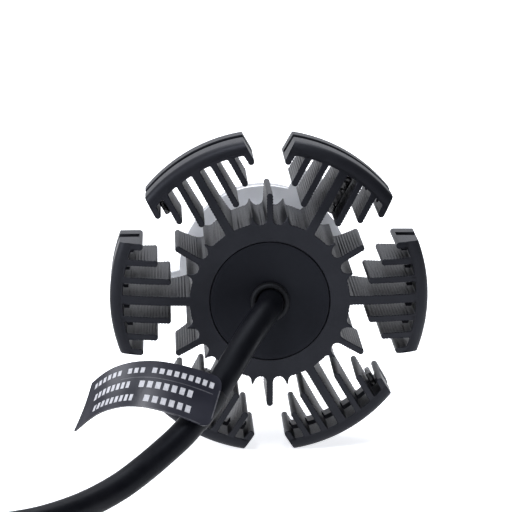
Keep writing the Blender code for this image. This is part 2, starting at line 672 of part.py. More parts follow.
def make_plug():
    """A three-blade lamp plug: two upright blades with a level one above them, and a boot behind."""
    low = (PLUG_X - PLUG_HALF_X, PLUG_REAR_Y, PLUG_Z - PLUG_HALF_Z)
    high = (PLUG_X + PLUG_HALF_X, PLUG_REAR_Y + PLUG_LENGTH, PLUG_Z + PLUG_HALF_Z)
    housing = block("plug_housing", low, high, SATIN_BLACK, 1.2 * MM)
    boot = turned("plug_boot", [
        (0.0, 0.0), (3.1 * MM, 0.0), (3.4 * MM, 0.6 * MM), (4.6 * MM, 8.9 * MM), (4.6 * MM, 9.2 * MM),
        (0.0, 9.2 * MM),
    ], BLACK_RUBBER, 24)
    boot.location = (PLUG_X, PLUG_REAR_Y - GAP - 9.2 * MM, PLUG_Z)
    front = PLUG_REAR_Y + PLUG_LENGTH
    blade_from, blade_to = front - 0.7 * MM, front + 13.3 * MM
    thin, wide, room = 0.4 * MM, 3.8 * MM, 0.3 * MM
    for name, x, z, half_x, half_z in (
        ("plug_blade_left", -BLADE_PITCH / 2 - MM, -2.0 * MM, thin, wide),
        ("plug_blade_right", BLADE_PITCH / 2 + MM, -2.0 * MM, thin, wide),
        ("plug_blade_top", 0.0, 5.2 * MM, wide, thin),
    ):
        x, z = PLUG_X + x, PLUG_Z + z
        low, high = (x - half_x, blade_from, z - half_z), (x + half_x, blade_to, z + half_z)
        block(name, low, high, BRASS, 0.15 * MM)
        half_x, half_z = half_x + room, half_z + room
        low, high = (x - half_x, front - MM, z - half_z), (x + half_x, front + MM, z + half_z)
        cut(housing, block(f"{name}_slot", low, high, SATIN_BLACK))


def make_label():
    """A thin strip held to the lead by its right end and curling away to the left."""
    upper = evenly(smooth_route(LABEL_EDGE), 2.4 * MM)
    bm = bmesh.new()
    rows = []
    for i, point in enumerate(upper):
        ahead = upper[min(i + 1, len(upper) - 1)] - upper[max(i - 1, 0)]
        normal = ahead.cross(LABEL_DOWN).normalized() * LABEL_THICK / 2
        corners = (point + normal, point + LABEL_DOWN + normal, point + LABEL_DOWN - normal, point - normal)
        rows.append([bm.verts.new(corner) for corner in corners])
    bm.faces.new(rows[0])
    bm.faces.new(rows[-1][::-1])
    for a, b in zip(rows, rows[1:]):
        for k in range(4):
            bm.faces.new((a[k], b[k], b[(k + 1) % 4], a[(k + 1) % 4]))
    finished("label_flag", bm, SATIN_BLACK)


def main():
    clear_scene()
    make_heatsink()
    make_damper_pads()
    make_cover()
    make_grommet()
    make_driver()
    make_led_wires()
    make_body_screws()
    make_body()
    make_blade()
    make_flange()
    make_sleeve()
    make_lead()
    make_plug()
    make_label()


main()
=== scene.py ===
"""The finished look of the LED headlight bulb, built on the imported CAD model.

Metres, in the CAD's frame: the bulb's axis is Y, its beam end points along +Y, and Z is up.
"""

import math

import bmesh
import bpy
from mathutils import Matrix, Vector
from mathutils.geometry import tessellate_polygon


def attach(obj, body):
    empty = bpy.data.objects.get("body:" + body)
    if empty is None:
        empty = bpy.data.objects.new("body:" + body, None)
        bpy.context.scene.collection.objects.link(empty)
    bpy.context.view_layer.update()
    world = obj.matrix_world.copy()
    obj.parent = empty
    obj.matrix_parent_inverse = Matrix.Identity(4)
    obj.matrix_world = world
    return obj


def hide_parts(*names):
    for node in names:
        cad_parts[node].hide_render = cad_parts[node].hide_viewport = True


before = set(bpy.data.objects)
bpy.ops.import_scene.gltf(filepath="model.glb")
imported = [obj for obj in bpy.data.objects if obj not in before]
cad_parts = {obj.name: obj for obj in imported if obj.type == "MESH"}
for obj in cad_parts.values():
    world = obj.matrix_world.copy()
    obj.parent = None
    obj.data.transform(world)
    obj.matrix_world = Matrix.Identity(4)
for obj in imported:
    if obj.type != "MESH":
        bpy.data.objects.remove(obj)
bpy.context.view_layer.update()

MM = 0.001
REAR = -32.0
FLOOR_Z = -30.1
ROOT = "housing"
SKY = (0.08, 1.12)
TINT = (0.92, 0.94, 1.0)
CUT_ANGLE = 32.0
SIDES = (("left", -1.0), ("right", 1.0))
ACROSS_X, ACROSS_Z = (90.0, "Z"), (90.0, "X")


# ---- Small tools ----


def linked(name, data):
    obj = bpy.data.objects.new(name, data)
    bpy.context.scene.collection.objects.link(obj)
    return obj


def placed(obj, look, *nodes, slot=None, body=ROOT):
    """Gives a piece its finish, its body and the CAD nodes that it stands for; the slot argument is not
    used.
    """
    obj.data.materials.clear()
    obj.data.materials.append(LOOK[look])
    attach(obj, body)
    if nodes:
        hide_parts(*nodes)
    return obj


def made(name, bm, angle=30.0, scale=MM, outward=True):
    """An object of a mesh given in millimetres, smooth but for its edges over an angle."""
    if outward:
        bmesh.ops.recalc_face_normals(bm, faces=bm.faces)
    bmesh.ops.scale(bm, vec=(scale, scale, scale), verts=bm.verts)
    mesh = bpy.data.meshes.new(name)
    bm.to_mesh(mesh)
    bm.free()
    mesh.shade_smooth()
    mesh.set_sharp_from_angle(angle=math.radians(angle))
    return linked(name, mesh)


def turned(name, profile, steps=96, angle=30.0):
    """A shape turned about Y from (radius, y) points in millimetres; a profile off the axis is closed."""
    bm = bmesh.new()
    points = [bm.verts.new((radius, y, 0.0)) for radius, y in profile]
    pairs = list(zip(points, points[1:]))
    if profile[0][0] or profile[-1][0]:
        pairs.append((points[-1], points[0]))
    edges = [bm.edges.new(pair) for pair in pairs]
    bmesh.ops.spin(
        bm, geom=points + edges, cent=(0, 0, 0), axis=(0, 1, 0),
        angle=math.tau, steps=steps, use_merge=True, use_duplicate=False,
    )
    bmesh.ops.remove_doubles(bm, verts=bm.verts, dist=1e-4)
    return made(name, bm, angle)


def rounded(profile, radius, steps=4, closed=False):
    """A profile with its corners rounded by a radius, or by less where a side is short."""
    points = [Vector(p) for p in profile]
    count = len(points)
    out = []
    for i, point in enumerate(points):
        if not closed and i in (0, count - 1):
            out.append(tuple(point))
            continue
        before, after = points[i - 1] - point, points[(i + 1) % count] - point
        cut = min(radius, before.length * 0.45, after.length * 0.45)
        a, b = point + before.normalized() * cut, point + after.normalized() * cut
        if abs(before.normalized().dot(after.normalized())) > 0.995:
            out.append(tuple(point))
            continue
        for k in range(steps + 1):
            t = k / steps
            out.append(tuple(a * (1 - t) ** 2 + point * 2 * t * (1 - t) + b * t**2))
    return out


def arc(radius, start, end, steps, centre=(0.0, 0.0)):
    """Points on an arc, angles in degrees, both ends included."""
    out = []
    for i in range(steps + 1):
        a = math.radians(start + (end - start) * i / steps)
        out.append((centre[0] + radius * math.cos(a), centre[1] + radius * math.sin(a)))
    return out


def prism(name, outline, y_from, y_to, chamfer=0.0, angle=30.0):
    """A prism along Y of an outline of (x, z) points in millimetres, its end edges chamfered."""
    bm = bmesh.new()
    near = bm.faces.new([bm.verts.new((x, y_from, z)) for x, z in outline])
    grown = bmesh.ops.extrude_face_region(bm, geom=[near])
    far = [v for v in grown["geom"] if isinstance(v, bmesh.types.BMVert)]
    for vert in far:
        vert.co.y = y_to
    bmesh.ops.recalc_face_normals(bm, faces=bm.faces)
    if chamfer:
        ends = [e for e in bm.edges if abs(e.verts[0].co.y - e.verts[1].co.y) < 1e-6]
        bmesh.ops.bevel(bm, geom=ends, offset=chamfer, segments=2, affect="EDGES", profile=0.6)
    return made(name, bm, angle)


def block(name, low, high, bevel=0.1, segments=3):
    """A box between two corners in millimetres, with rounded edges."""
    bm = bmesh.new()
    bmesh.ops.create_cube(bm, size=1.0)
    for vert in bm.verts:
        vert.co = [low[k] if vert.co[k] < 0 else high[k] for k in range(3)]
    if bevel:
        bmesh.ops.bevel(
            bm, geom=list(bm.edges), offset=bevel, segments=segments, affect="EDGES", profile=0.5,
        )
    return made(name, bm, 40.0, outward=False)


def cut(obj, cutter, operation="DIFFERENCE"):
    """Applies a Boolean and removes its helper."""
    step = obj.modifiers.new("cut", "BOOLEAN")
    step.operation = operation
    step.object = cutter
    step.solver = "EXACT"
    bpy.context.view_layer.update()
    evaluated = obj.evaluated_get(bpy.context.evaluated_depsgraph_get())
    mesh = bpy.data.meshes.new_from_object(evaluated)
    obj.modifiers.clear()
    obj.data = mesh
    bpy.data.objects.remove(cutter, do_unlink=True)
    mesh.shade_smooth()
    mesh.set_sharp_from_angle(angle=math.radians(CUT_ANGLE))
    return obj


def joined(name, pieces):
    """One object of several."""
    bm = bmesh.new()
    bpy.context.view_layer.update()
    for piece in pieces:
        mesh = piece.data.copy()
        mesh.transform(piece.matrix_world)
        bm.from_mesh(mesh)
        bpy.data.meshes.remove(mesh)
    for piece in pieces:
        bpy.data.objects.remove(piece, do_unlink=True)
    return made(name, bm, CUT_ANGLE, 1.0, False)


def moved(obj, place=(0.0, 0.0, 0.0), degrees=0.0, axis="Y"):
    """Turns a piece's mesh about an axis, then moves it by millimetres."""
    shift = Matrix.Translation([value * MM for value in place])
    obj.data.transform(shift @ Matrix.Rotation(math.radians(degrees), 4, axis))
    return obj


def turn_about_y(obj, degrees):
    """Turns a piece's mesh about Y, anticlockwise as seen from the heatsink's end with Z up."""
    return moved(obj, degrees=-degrees)


def drilled(obj, radius, low, high, place=(0.0, 0.0, 0.0), turn=(0.0, "Y"), steps=32):
    """Bores a round hole: from low to high along Y, then turned (degrees, axis) and moved to its place."""
    drill = turned("drill", [(0.0, low), (radius, low), (radius, high), (0.0, high)], steps)
    return cut(obj, moved(drill, place, *turn))


# ---- Materials ----


def falloff(tree, place, stretches):
    """The product of stretches along a place's axes, each (axis, from, to, value there, value there).

    A stretch is smooth along X and even along the other axes.
    """
    parts = tree.nodes.new("ShaderNodeSeparateXYZ")
    tree.links.new(place, parts.inputs["Vector"])
    result = None
    for axis, *numbers in stretches:
        spread = tree.nodes.new("ShaderNodeMapRange")
        spread.interpolation_type = "SMOOTHSTEP" if axis == "X" else "LINEAR"
        for socket, number in zip(("From Min", "From Max", "To Min", "To Max"), numbers):
            spread.inputs[socket].default_value = number
        tree.links.new(parts.outputs[axis], spread.inputs["Value"])
        if result is None:
            result = spread.outputs["Result"]
            continue
        product = tree.nodes.new("ShaderNodeMath")
        product.operation = "MULTIPLY"
        tree.links.new(result, product.inputs[0])
        tree.links.new(spread.outputs["Result"], product.inputs[1])
        result = product.outputs["Value"]
    return result


class Paint:
    """A procedural material: a Principled shader with nodes for its grain, sheen and relief."""

    def __init__(self, name, roughness, metallic, specular=0.5):
        self.material = bpy.data.materials.new(name)
        self.material.use_nodes = True
        self.tree = self.material.node_tree
        self.shader = self.tree.nodes["Principled BSDF"]
        self.set(Roughness=roughness, Metallic=metallic, Specular_IOR_Level=specular)
        self.place = self.tree.nodes.new("ShaderNodeTexCoord").outputs["Object"]
        self.height = None

    def set(self, **sockets):
        for key, value in sockets.items():
            self.shader.inputs[key.replace("_", " ")].default_value = value

    def noise(self, scale, detail, stretch=None, roughness=0.5):
        """Noise with features about 1 / scale metres across; stretch scales the axes first."""
        place = self.place
        if stretch:
            mapping = self.tree.nodes.new("ShaderNodeMapping")
            mapping.inputs["Scale"].default_value = stretch
            self.tree.links.new(place, mapping.inputs["Vector"])
            place = mapping.outputs["Vector"]
        noise = self.tree.nodes.new("ShaderNodeTexNoise")
        for socket, number in (("Scale", scale), ("Detail", detail), ("Roughness", roughness)):
            noise.inputs[socket].default_value = number
        self.tree.links.new(place, noise.inputs["Vector"])
        return noise.outputs["Fac"]

    def colour(self, value, dark, light):
        """Base colour that goes from dark to light as a value does."""
        ramp = self.tree.nodes.new("ShaderNodeValToRGB")
        for element, position, shade in zip(ramp.color_ramp.elements, NOISE_SPAN, (dark, light)):
            element.position = position
            element.color = (*shade, 1.0)
        self.tree.links.new(value, ramp.inputs["Fac"])
        self.tree.links.new(ramp.outputs["Color"], self.shader.inputs["Base Color"])

    def gloss(self, value, smooth, rough):
        """Roughness that goes from smooth to rough as a value does."""
        spread = self.tree.nodes.new("ShaderNodeMapRange")
        sockets = ("From Min", "From Max", "To Min", "To Max")
        for socket, number in zip(sockets, (*NOISE_SPAN, smooth, rough)):
            spread.inputs[socket].default_value = number
        self.tree.links.new(value, spread.inputs["Value"])
        self.tree.links.new(spread.outputs["Result"], self.shader.inputs["Roughness"])

    def bump(self, value, distance):
        """Adds relief of about a distance in metres, on top of any that is there."""
        bump = self.tree.nodes.new("ShaderNodeBump")
        bump.inputs["Strength"].default_value = 1.0
        bump.inputs["Distance"].default_value = distance
        self.tree.links.new(value, bump.inputs["Height"])
        if self.height:
            self.tree.links.new(self.height, bump.inputs["Normal"])
        self.height = bump.outputs["Normal"]
        self.tree.links.new(self.height, self.shader.inputs["Normal"])

    def glow(self, *stretches):
        """Emission that is the product of some stretches: an axis, two places on it and their values."""
        strength = falloff(self.tree, self.place, stretches)
        self.tree.links.new(strength, self.shader.inputs["Emission Strength"])


def finish(name, shader, noises, dark, light, gloss, relief=(), tint=None):
    """A material from its noises, which the rest number from 0: the first one gives its colour.

    Gloss is (noise, smooth, rough), and relief is a (noise, metres) for each layer.
    """
    paint = Paint(name, *shader)
    fields = [paint.noise(*noise) for noise in noises]
    paint.colour(fields[0], dark, light)
    paint.gloss(fields[gloss[0]], *gloss[1:])
    for number, depth in relief:
        paint.bump(fields[number], depth)
    if tint:
        paint.set(Specular_Tint=tint)
    return paint.material


def floor_material():
    ground = Paint("studio_floor", 0.9, 0.0, 0.0)
    ground.colour(ground.noise(1.5, 2.0), (0.8, 0.8, 0.8), (0.82, 0.82, 0.82))
    ground.set(Emission_Color=(0.95, 0.965, 1.0, 1.0))
    # the floor glows, painted light that fills in the shadows on it: strongest round and behind the bulb,
    # weaker in front, to the right and far to the left
    ground.glow(
        ("Y", -0.4, -0.08, 0.3, 0.85), ("X", 0.16, 0.5, 1.0, 0.2), ("X", -0.9, -0.3, 0.5, 1.0),
    )
    return ground.material


NOISE_SPAN = (0.3, 0.7)
COOL = (0.84, 0.9, 1.0, 1.0)
ROLLED, DRAWN = (1.0, 4.0, 1.0), (1.0, 0.05, 1.0)

LOOK = {
    "anodised": finish(
        "black_anodised", (0.42, 0.0, 0.185), [(160, 3.0), (5200, 2.0), (2600, 2.0, (1.0, 0.03, 1.0))],
        (0.0055, 0.0058, 0.0075), (0.0085, 0.0088, 0.011), (1, 0.36, 0.5),
        [(1, 0.000012), (2, 0.00001)], (0.86, 0.89, 1.0, 1.0),
    ),
    "cover": finish(
        "cover_satin", (0.5, 0.0, 0.1), [(90, 2.0), (4200, 3.0)],
        (0.0042, 0.0044, 0.0062), (0.0062, 0.0065, 0.0086), (1, 0.44, 0.58), [(1, 0.000014)], COOL,
    ),
    "rubber": finish(
        "rubber_black", (0.55, 0.0, 0.15), [(140, 2.0), (3600, 3.0)],
        (0.0035, 0.0035, 0.0038), (0.006, 0.006, 0.0065), (1, 0.5, 0.66), [(1, 0.000014)], COOL,
    ),
    "pad": finish(
        "pad_glossy", (0.22, 0.0, 0.6), [(300, 2.0), (700, 2.0)],
        (0.0035, 0.0035, 0.0042), (0.006, 0.006, 0.007), (0, 0.14, 0.36), [(1, 0.0006)],
    ),
    "cord": finish(
        "cord_sheath", (0.4, 0.0, 0.06), [(320, 3.0), (2400, 2.0)],
        (0.0028, 0.003, 0.0042), (0.0045, 0.0048, 0.0062), (0, 0.34, 0.48),
        [(1, 0.00001), (0, 0.00003)], COOL,
    ),
    "plastic": finish(
        "plastic_black", (0.45, 0.0, 0.35), [(120, 2.0), (3000, 4.0, None, 0.7)],
        (0.007, 0.007, 0.0076), (0.011, 0.011, 0.0118), (1, 0.4, 0.56), [(1, 0.00002)],
    ),
    # the flange's metal with painted light: lighter and less metallic, for the plate's rear face
    "silver": finish(
        "flange_painted_light", (0.36, 0.5), [(220, 3.0), (3200, 3.0, ROLLED)],
        (0.74, 0.75, 0.77), (0.81, 0.82, 0.84), (1, 0.3, 0.44), [(1, 0.0000015)],
    ),
    # the same flange metal with painted shade: darker, for the flange's other faces
    "shell": finish(
        "flange_painted_shade", (0.34, 0.95), [(220, 3.0), (2200, 3.0, ROLLED)],
        (0.44, 0.445, 0.455), (0.52, 0.525, 0.535), (1, 0.28, 0.42), [(1, 0.000003)],
    ),
    "steel": finish(
        "plain_steel", (0.33, 1.0), [(260, 3.0), (1500, 3.0, (1.0, 5.0, 1.0))],
        (0.44, 0.445, 0.455), (0.58, 0.585, 0.595), (1, 0.26, 0.42), [(1, 0.00001)],
    ),
    "shield": finish(
        "polished_shield", (0.18, 1.0), [(2400, 2.0, DRAWN)],
        (0.6, 0.605, 0.615), (0.7, 0.705, 0.71), (0, 0.14, 0.26), [(0, 0.000005)],
    ),
    "copper": finish(
        "copper", (0.3, 1.0), [(420, 4.0), (2600, 2.0, DRAWN)],
        (0.62, 0.28, 0.16), (0.83, 0.46, 0.31), (0, 0.26, 0.42), [(1, 0.000006)],
    ),
    "brass": finish(
        "brass", (0.28, 1.0), [(500, 4.0), (2600, 2.0, DRAWN)],
        (0.66, 0.5, 0.24), (0.83, 0.67, 0.36), (0, 0.22, 0.38), [(1, 0.000006)],
    ),
    "mask": finish(
        "white_solder_mask", (0.35, 0.0, 0.5), [(1800, 3.0)],
        (0.74, 0.74, 0.72), (0.84, 0.84, 0.82), (0, 0.3, 0.45), [(0, 0.000008)],
    ),
    "board": finish(
        "green_board", (0.4, 0.0, 0.5), [(2600, 2.0, (1.0, 1.0, 0.2))],
        (0.012, 0.085, 0.03), (0.02, 0.14, 0.05), (0, 0.32, 0.48), [(0, 0.000008)],
    ),
    "phosphor": finish(
        "led_phosphor", (0.38, 0.0, 0.4), [(6000, 3.0)],
        (0.78, 0.6, 0.06), (0.92, 0.78, 0.2), (0, 0.32, 0.5), [(0, 0.00001)],
    ),
    "red": finish(
        "red_sheath", (0.42, 0.0, 0.5), [(900, 3.0)],
        (0.36, 0.015, 0.012), (0.52, 0.03, 0.02), (0, 0.36, 0.5), [(0, 0.00001)],
    ),
    "label": finish(
        "label_charcoal", (0.36, 0.0, 0.35), [(150, 2.0), (2800, 2.0)],
        (0.012, 0.0123, 0.018), (0.019, 0.0195, 0.027), (0, 0.3, 0.42), [(1, 0.000008)],
    ),
    "ink": finish(
        "label_dashes", (0.5, 0.0, 0.3), [(2400, 2.0)],
        (0.36, 0.36, 0.38), (0.48, 0.48, 0.5), (0, 0.45, 0.6),
    ),
    # painted highlights: lighter lines where the label's crease and edges catch the light
    "painted_highlight": finish(
        "label_painted_highlight_lines", (0.45, 0.0, 0.4), [(2400, 2.0)],
        (0.05, 0.051, 0.058), (0.085, 0.086, 0.095), (0, 0.35, 0.55),
    ),
}


# ---- Camera, light and floor ----


IMAGE_PIXELS, FOCAL_PIXELS, SENSOR = 512.0, 2800.0, 36.0
CAMERA_AT = (-0.02040504, -0.54981448, 0.11133168)
CAMERA_SIDE, CAMERA_DOWN = math.radians(1.9637), math.radians(11.2)


def make_camera():
    data = bpy.data.cameras.new("camera")
    data.sensor_width = SENSOR
    data.lens = SENSOR * FOCAL_PIXELS / IMAGE_PIXELS
    data.clip_start = 0.02
    data.clip_end = 30.0
    camera = linked("camera", data)
    camera.location = CAMERA_AT
    level = math.cos(CAMERA_DOWN)
    look = Vector((math.sin(CAMERA_SIDE) * level, math.cos(CAMERA_SIDE) * level, -math.sin(CAMERA_DOWN)))
    camera.rotation_euler = look.to_track_quat("-Z", "Y").to_euler()
    bpy.context.scene.camera = camera


def area_light(name, at, size, power):
    """A square light that faces the bulb."""
    data = bpy.data.lights.new(name, "AREA")
    data.shape = "SQUARE"
    data.size = size
    data.energy = power
    data.color = TINT
    light = linked(name, data)
    light.location = at
    light.rotation_euler = (Vector() - Vector(at)).to_track_quat("-Z", "Y").to_euler()


def make_sky():
    """Soft white light, brightest behind the bulb, dim on the heatsink's side and to the right."""
    world = bpy.data.worlds.new("studio")
    bpy.context.scene.world = world
    world.use_nodes = True
    tree = world.node_tree
    backdrop = tree.nodes["Background"]
    backdrop.inputs["Color"].default_value = (*TINT, 1.0)
    direction = tree.nodes.new("ShaderNodeTexCoord").outputs["Generated"]
    strength = falloff(tree, direction, (
        ("Y", -0.5, 0.9, *SKY), ("X", 0.2, 0.85, 1.0, 0.15), ("X", -0.95, -0.3, 0.55, 1.0),
    ))
    tree.links.new(strength, backdrop.inputs["Strength"])


def make_studio():
    bm = bmesh.new()
    bmesh.ops.create_grid(bm, x_segments=2, y_segments=2, size=6000.0)
    floor = made("floor", bm, outward=False)
    floor.location.z = FLOOR_Z * MM
    floor.data.materials.append(floor_material())
    make_sky()
    area_light("top_light", (0.0, 0.35, 0.85), 0.7, 7.0)
    area_light("left_light", (-0.75, -0.28, 0.35), 0.5, 6.0)
    area_light("front_light", (-0.15, -0.55, 0.85), 0.4, 7.0)
    bpy.context.scene.view_settings.view_transform = "Standard"
    bpy.context.scene.view_settings.look = "None"


# ---- The lead ----


CORD_ROUTE = [
    (0.0, -31.7, 0.0), (0.0, -34.6, 0.0), (-1.0, -39.0, -0.45), (-3.7, -44.9, -2.7),
    (-6.6, -50.1, -6.1), (-9.85, -54.8, -10.2), (-13.25, -58.3, -14.4), (-16.9, -61.0, -18.2),
    (-20.6, -63.5, -21.0), (-24.15, -66.2, -23.3), (-27.85, -69.5, -25.2), (-32.1, -73.7, -26.5),
    (-36.9, -79.1, -27.1), (-43.2, -84.3, -27.45), (-51.0, -87.8, -27.4), (-61.9, -89.0, -26.9),
    (-70.5, -89.0, -26.8),
]
COIL_CENTRE = Vector((-78.5, -64.0))
COIL_R = 25.0
LAYERS = (-26.8, -21.8)
TAIL_ROUTE = [
    (-103.5, -55.0, -21.95), (-103.5, -47.2, -22.1), (-103.4, -45.2, -22.1), (-102.8, -41.7, -22.0),
    (-100.75, -37.9, -21.9), (-98.7, -34.1, -21.7), (-98.1, -30.6, -21.6), (-98.0, -27.8, -21.6),
]
CORD_R = 2.5


def coil_points():
    """A turn and a quarter, clockwise from above: once round on the floor, then on top of itself."""
    points = []
    for step in range(31):
        turn = step * 15.0
        t = min(1.0, max(0.0, (turn - 250.0) / 95.0))
        height = LAYERS[0] + (LAYERS[1] - LAYERS[0]) * t * t * (3 - 2 * t)
        a = math.radians(turn)
        points.append((
            COIL_CENTRE.x - COIL_R * math.sin(a), COIL_CENTRE.y - COIL_R * math.cos(a), height,
        ))
    return points


def smooth_curve(points, samples=12):
    """A smooth curve through points: a centripetal Catmull-Rom spline."""
    points = [Vector(p) for p in points]
    points = [2 * points[0] - points[1], *points, 2 * points[-1] - points[-2]]
    curve = []
    for p0, p1, p2, p3 in zip(points, points[1:], points[2:], points[3:]):
        t1 = (p1 - p0).length ** 0.5
        t2 = t1 + (p2 - p1).length ** 0.5
        t3 = t2 + (p3 - p2).length ** 0.5
        for i in range(samples):
            t = t1 + (t2 - t1) * i / samples
            a1 = p0.lerp(p1, t / t1)
            a2 = p1.lerp(p2, (t - t1) / (t2 - t1))
            a3 = p2.lerp(p3, (t - t2) / (t3 - t2))
            b1 = a1.lerp(a2, t / t2)
            b2 = a2.lerp(a3, (t - t1) / (t3 - t1))
            curve.append(b1.lerp(b2, (t - t1) / (t2 - t1)))
    curve.append(points[-2])
    return curve


def evenly(curve, spacing):
    """Points about this far apart along a curve, its two ends among them."""
    along = [0.0]
    for a, b in zip(curve, curve[1:]):
        along.append(along[-1] + (b - a).length)
    count = max(2, round(along[-1] / spacing))
    found, k = [], 0
    for i in range(count + 1):
        at = along[-1] * i / count
        while k < len(along) - 2 and along[k + 1] < at:
            k += 1
        found.append(curve[k].lerp(curve[k + 1], (at - along[k]) / (along[k + 1] - along[k])))
    return found


def cord_line(spacing=1.5):
    return evenly(smooth_curve(CORD_ROUTE + coil_points() + TAIL_ROUTE), spacing)


def make_cord():
    points = cord_line()
    line = bpy.data.curves.new("cord", "CURVE")
    line.dimensions = "3D"
    line.bevel_depth = CORD_R * MM
    line.bevel_resolution = 8
    line.use_fill_caps = True
    spline = line.splines.new("POLY")
    spline.points.add(len(points) - 1)
    for spot, point in zip(spline.points, points):
        spot.co = (*(point * MM), 1.0)
    cord = linked("cord", line)
    placed(cord, "cord", "power_cord", "cord_coil", "cord_tail")


def make_grommet():
    """The rubber collar round the lead: a rounded lip outside, a neck and a flange inside the cover."""
    lip = [
        (2.62, REAR - 1.1), (2.7, REAR - 1.34), (2.92, REAR - 1.48), (3.15, REAR - 1.5),
        (3.42, REAR - 1.44), (3.62, REAR - 1.26), (3.7, REAR - 1.0), (3.7, REAR - 0.1),
        (3.62, REAR + 0.02), (3.2, REAR + 0.04), (3.15, REAR + 1.9), (4.2, REAR + 1.9),
        (4.2, REAR + 2.7), (0.0, REAR + 2.7),
    ]
    profile = [(0.0, REAR + 0.6), (2.9, REAR + 0.6), (2.9, REAR - 0.5), (2.62, REAR - 0.75)] + lip
    placed(turned("grommet", profile, 96, 50.0), "rubber", "cord_grommet")


def make_tie():
    """A flat tie round both turns of the coil, with its square head outside."""
    inner_x, inner_z = 2.75, 5.15
    loop = rounded(
        [(-inner_x, -inner_z), (inner_x, -inner_z), (inner_x, inner_z), (-inner_x, inner_z)], 2.2, 6, True,
    )
    section = ((0.0, -1.6), (0.42, -1.7), (0.52, -1.5), (0.52, 1.5), (0.42, 1.7), (0.0, 1.6))
    bm = bmesh.new()
    rings = []
    count = len(loop)
    for i, (x, z) in enumerate(loop):
        ahead = Vector(loop[(i + 1) % count]) - Vector(loop[i - 1])
        out = Vector((ahead.y, -ahead.x)).normalized()
        rings.append([
            bm.verts.new((x + out.x * reach, side, z + out.y * reach)) for reach, side in section
        ])
    for a, b in zip(rings, rings[1:] + rings[:1]):
        for k in range(6):
            bm.faces.new((a[k], b[k], b[(k + 1) % 6], a[(k + 1) % 6]))
    strap = made("strap", bm)
    head = block("head", (inner_x + 0.35, -2.2, -1.4), (inner_x + 1.35, 2.2, 3.0), 0.25)
    tail = block("tie_end", (inner_x + 0.55, -1.4, 3.0), (inner_x + 1.0, 1.4, 5.6), 0.15)
    tie = joined("coil_tie", [strap, head, tail])
    turn = math.radians(225)
    middle_z = (LAYERS[0] + LAYERS[1]) / 2
    place = Vector((
        COIL_CENTRE.x + COIL_R * math.cos(turn), COIL_CENTRE.y + COIL_R * math.sin(turn), middle_z,
    ))
    tie.data.transform(Matrix.Translation(place * MM) @ Matrix.Rotation(turn, 4, "Z"))
    return placed(tie, "plastic", "cord_tie")


# ---- The label ----


LABEL_EDGE = [
    (-9.3, -58.6, -8.6), (-13.7, -59.2, -6.8), (-17.6, -59.6, -5.6), (-21.6, -59.3, -5.0),
    (-25.5, -58.3, -5.4), (-28.8, -57.0, -6.6), (-31.0, -56.0, -8.1), (-33.1, -54.8, -10.1),
]
LABEL_DOWN = Vector((-2.8, -4.5, -8.1))
LABEL_STEP = 0.25


class LabelSurface:
    """The label's face: u is millimetres from its right end, v goes from 0 at the upper edge to 1."""

    def __init__(self):
        self.curve = evenly(smooth_curve(LABEL_EDGE, 24), LABEL_STEP)
        self.length = LABEL_STEP * (len(self.curve) - 1)

    def point(self, u, v, lift=0.0):
        spot = max(u / LABEL_STEP, 0.0)
        k = min(int(spot), len(self.curve) - 2)
        base = self.curve[k] + (self.curve[k + 1] - self.curve[k]) * (spot - k)
        ahead = (self.curve[min(k + 2, len(self.curve) - 1)] - self.curve[max(k - 1, 0)]).normalized()
        normal = ahead.cross(LABEL_DOWN).normalized()
        # the strip is a little hollow across its width
        cup = 0.25 * math.sin(math.pi * min(max(v, 0.0), 1.0))
        narrowing = 1.0 - 0.1 * min(1.0, u / (0.6 * self.length))
        return base + LABEL_DOWN * (v * narrowing) + normal * (lift - cup)


def label_rows(surface, columns=90, rows=14):
    """(u, v) of the strip's grid, its right corners rounded and its left end cut askew."""
    width = LABEL_DOWN.length
    corner = 1.9
    grid = []
    for i in range(columns + 1):
        share = i / columns
        u = surface.length * share
        inset = 0.0
        if u < corner:
            inset = (corner - math.sqrt(max(corner**2 - (corner - u) ** 2, 0.0))) / width
        row = [inset + (1 - 2 * inset) * j / rows for j in range(rows + 1)]
        grid.append([(u + 1.1 * share**4 * v, v) for v in row])
    return grid


def strip(bm, surface, u_from, u_to, v_from, v_to, lift):
    """A patch of print on the label's face."""
    steps = max(1, round((u_to - u_from) / 0.4))
    places = [u_from + (u_to - u_from) * k / steps for k in range(steps + 1)]
    rows = [[bm.verts.new(surface.point(u, v, lift)) for u in places] for v in (v_from, v_to)]
    for k in range(steps):
        bm.faces.new((rows[0][k], rows[0][k + 1], rows[1][k + 1], rows[1][k]))


def make_dashes(surface, lift):
    """Three rows of plain blocks, in no writing: each group is a count, a pitch and the gap after it."""
    bm = bmesh.new()
    lines = (
        (0.2, 0.11, 1.5, ((9, 1.34, 0.9), (3, 1.2, 0.9), (6, 1.1, 0.0))),
        (0.5, 0.14, 4.8, ((7, 1.5, 1.3), (8, 1.0, 0.0))),
        (0.8, 0.14, 4.4, ((6, 1.55, 1.5), (9, 0.95, 0.0))),
    )
    for middle, height, u, groups in lines:
        for count, pitch, gap in groups:
            for _ in range(count):
                if u + pitch < surface.length - 0.5:
                    strip(bm, surface, u, u + pitch * 0.62, middle - height / 2, middle + height / 2, lift)
                u += pitch
            u += gap
    return bm


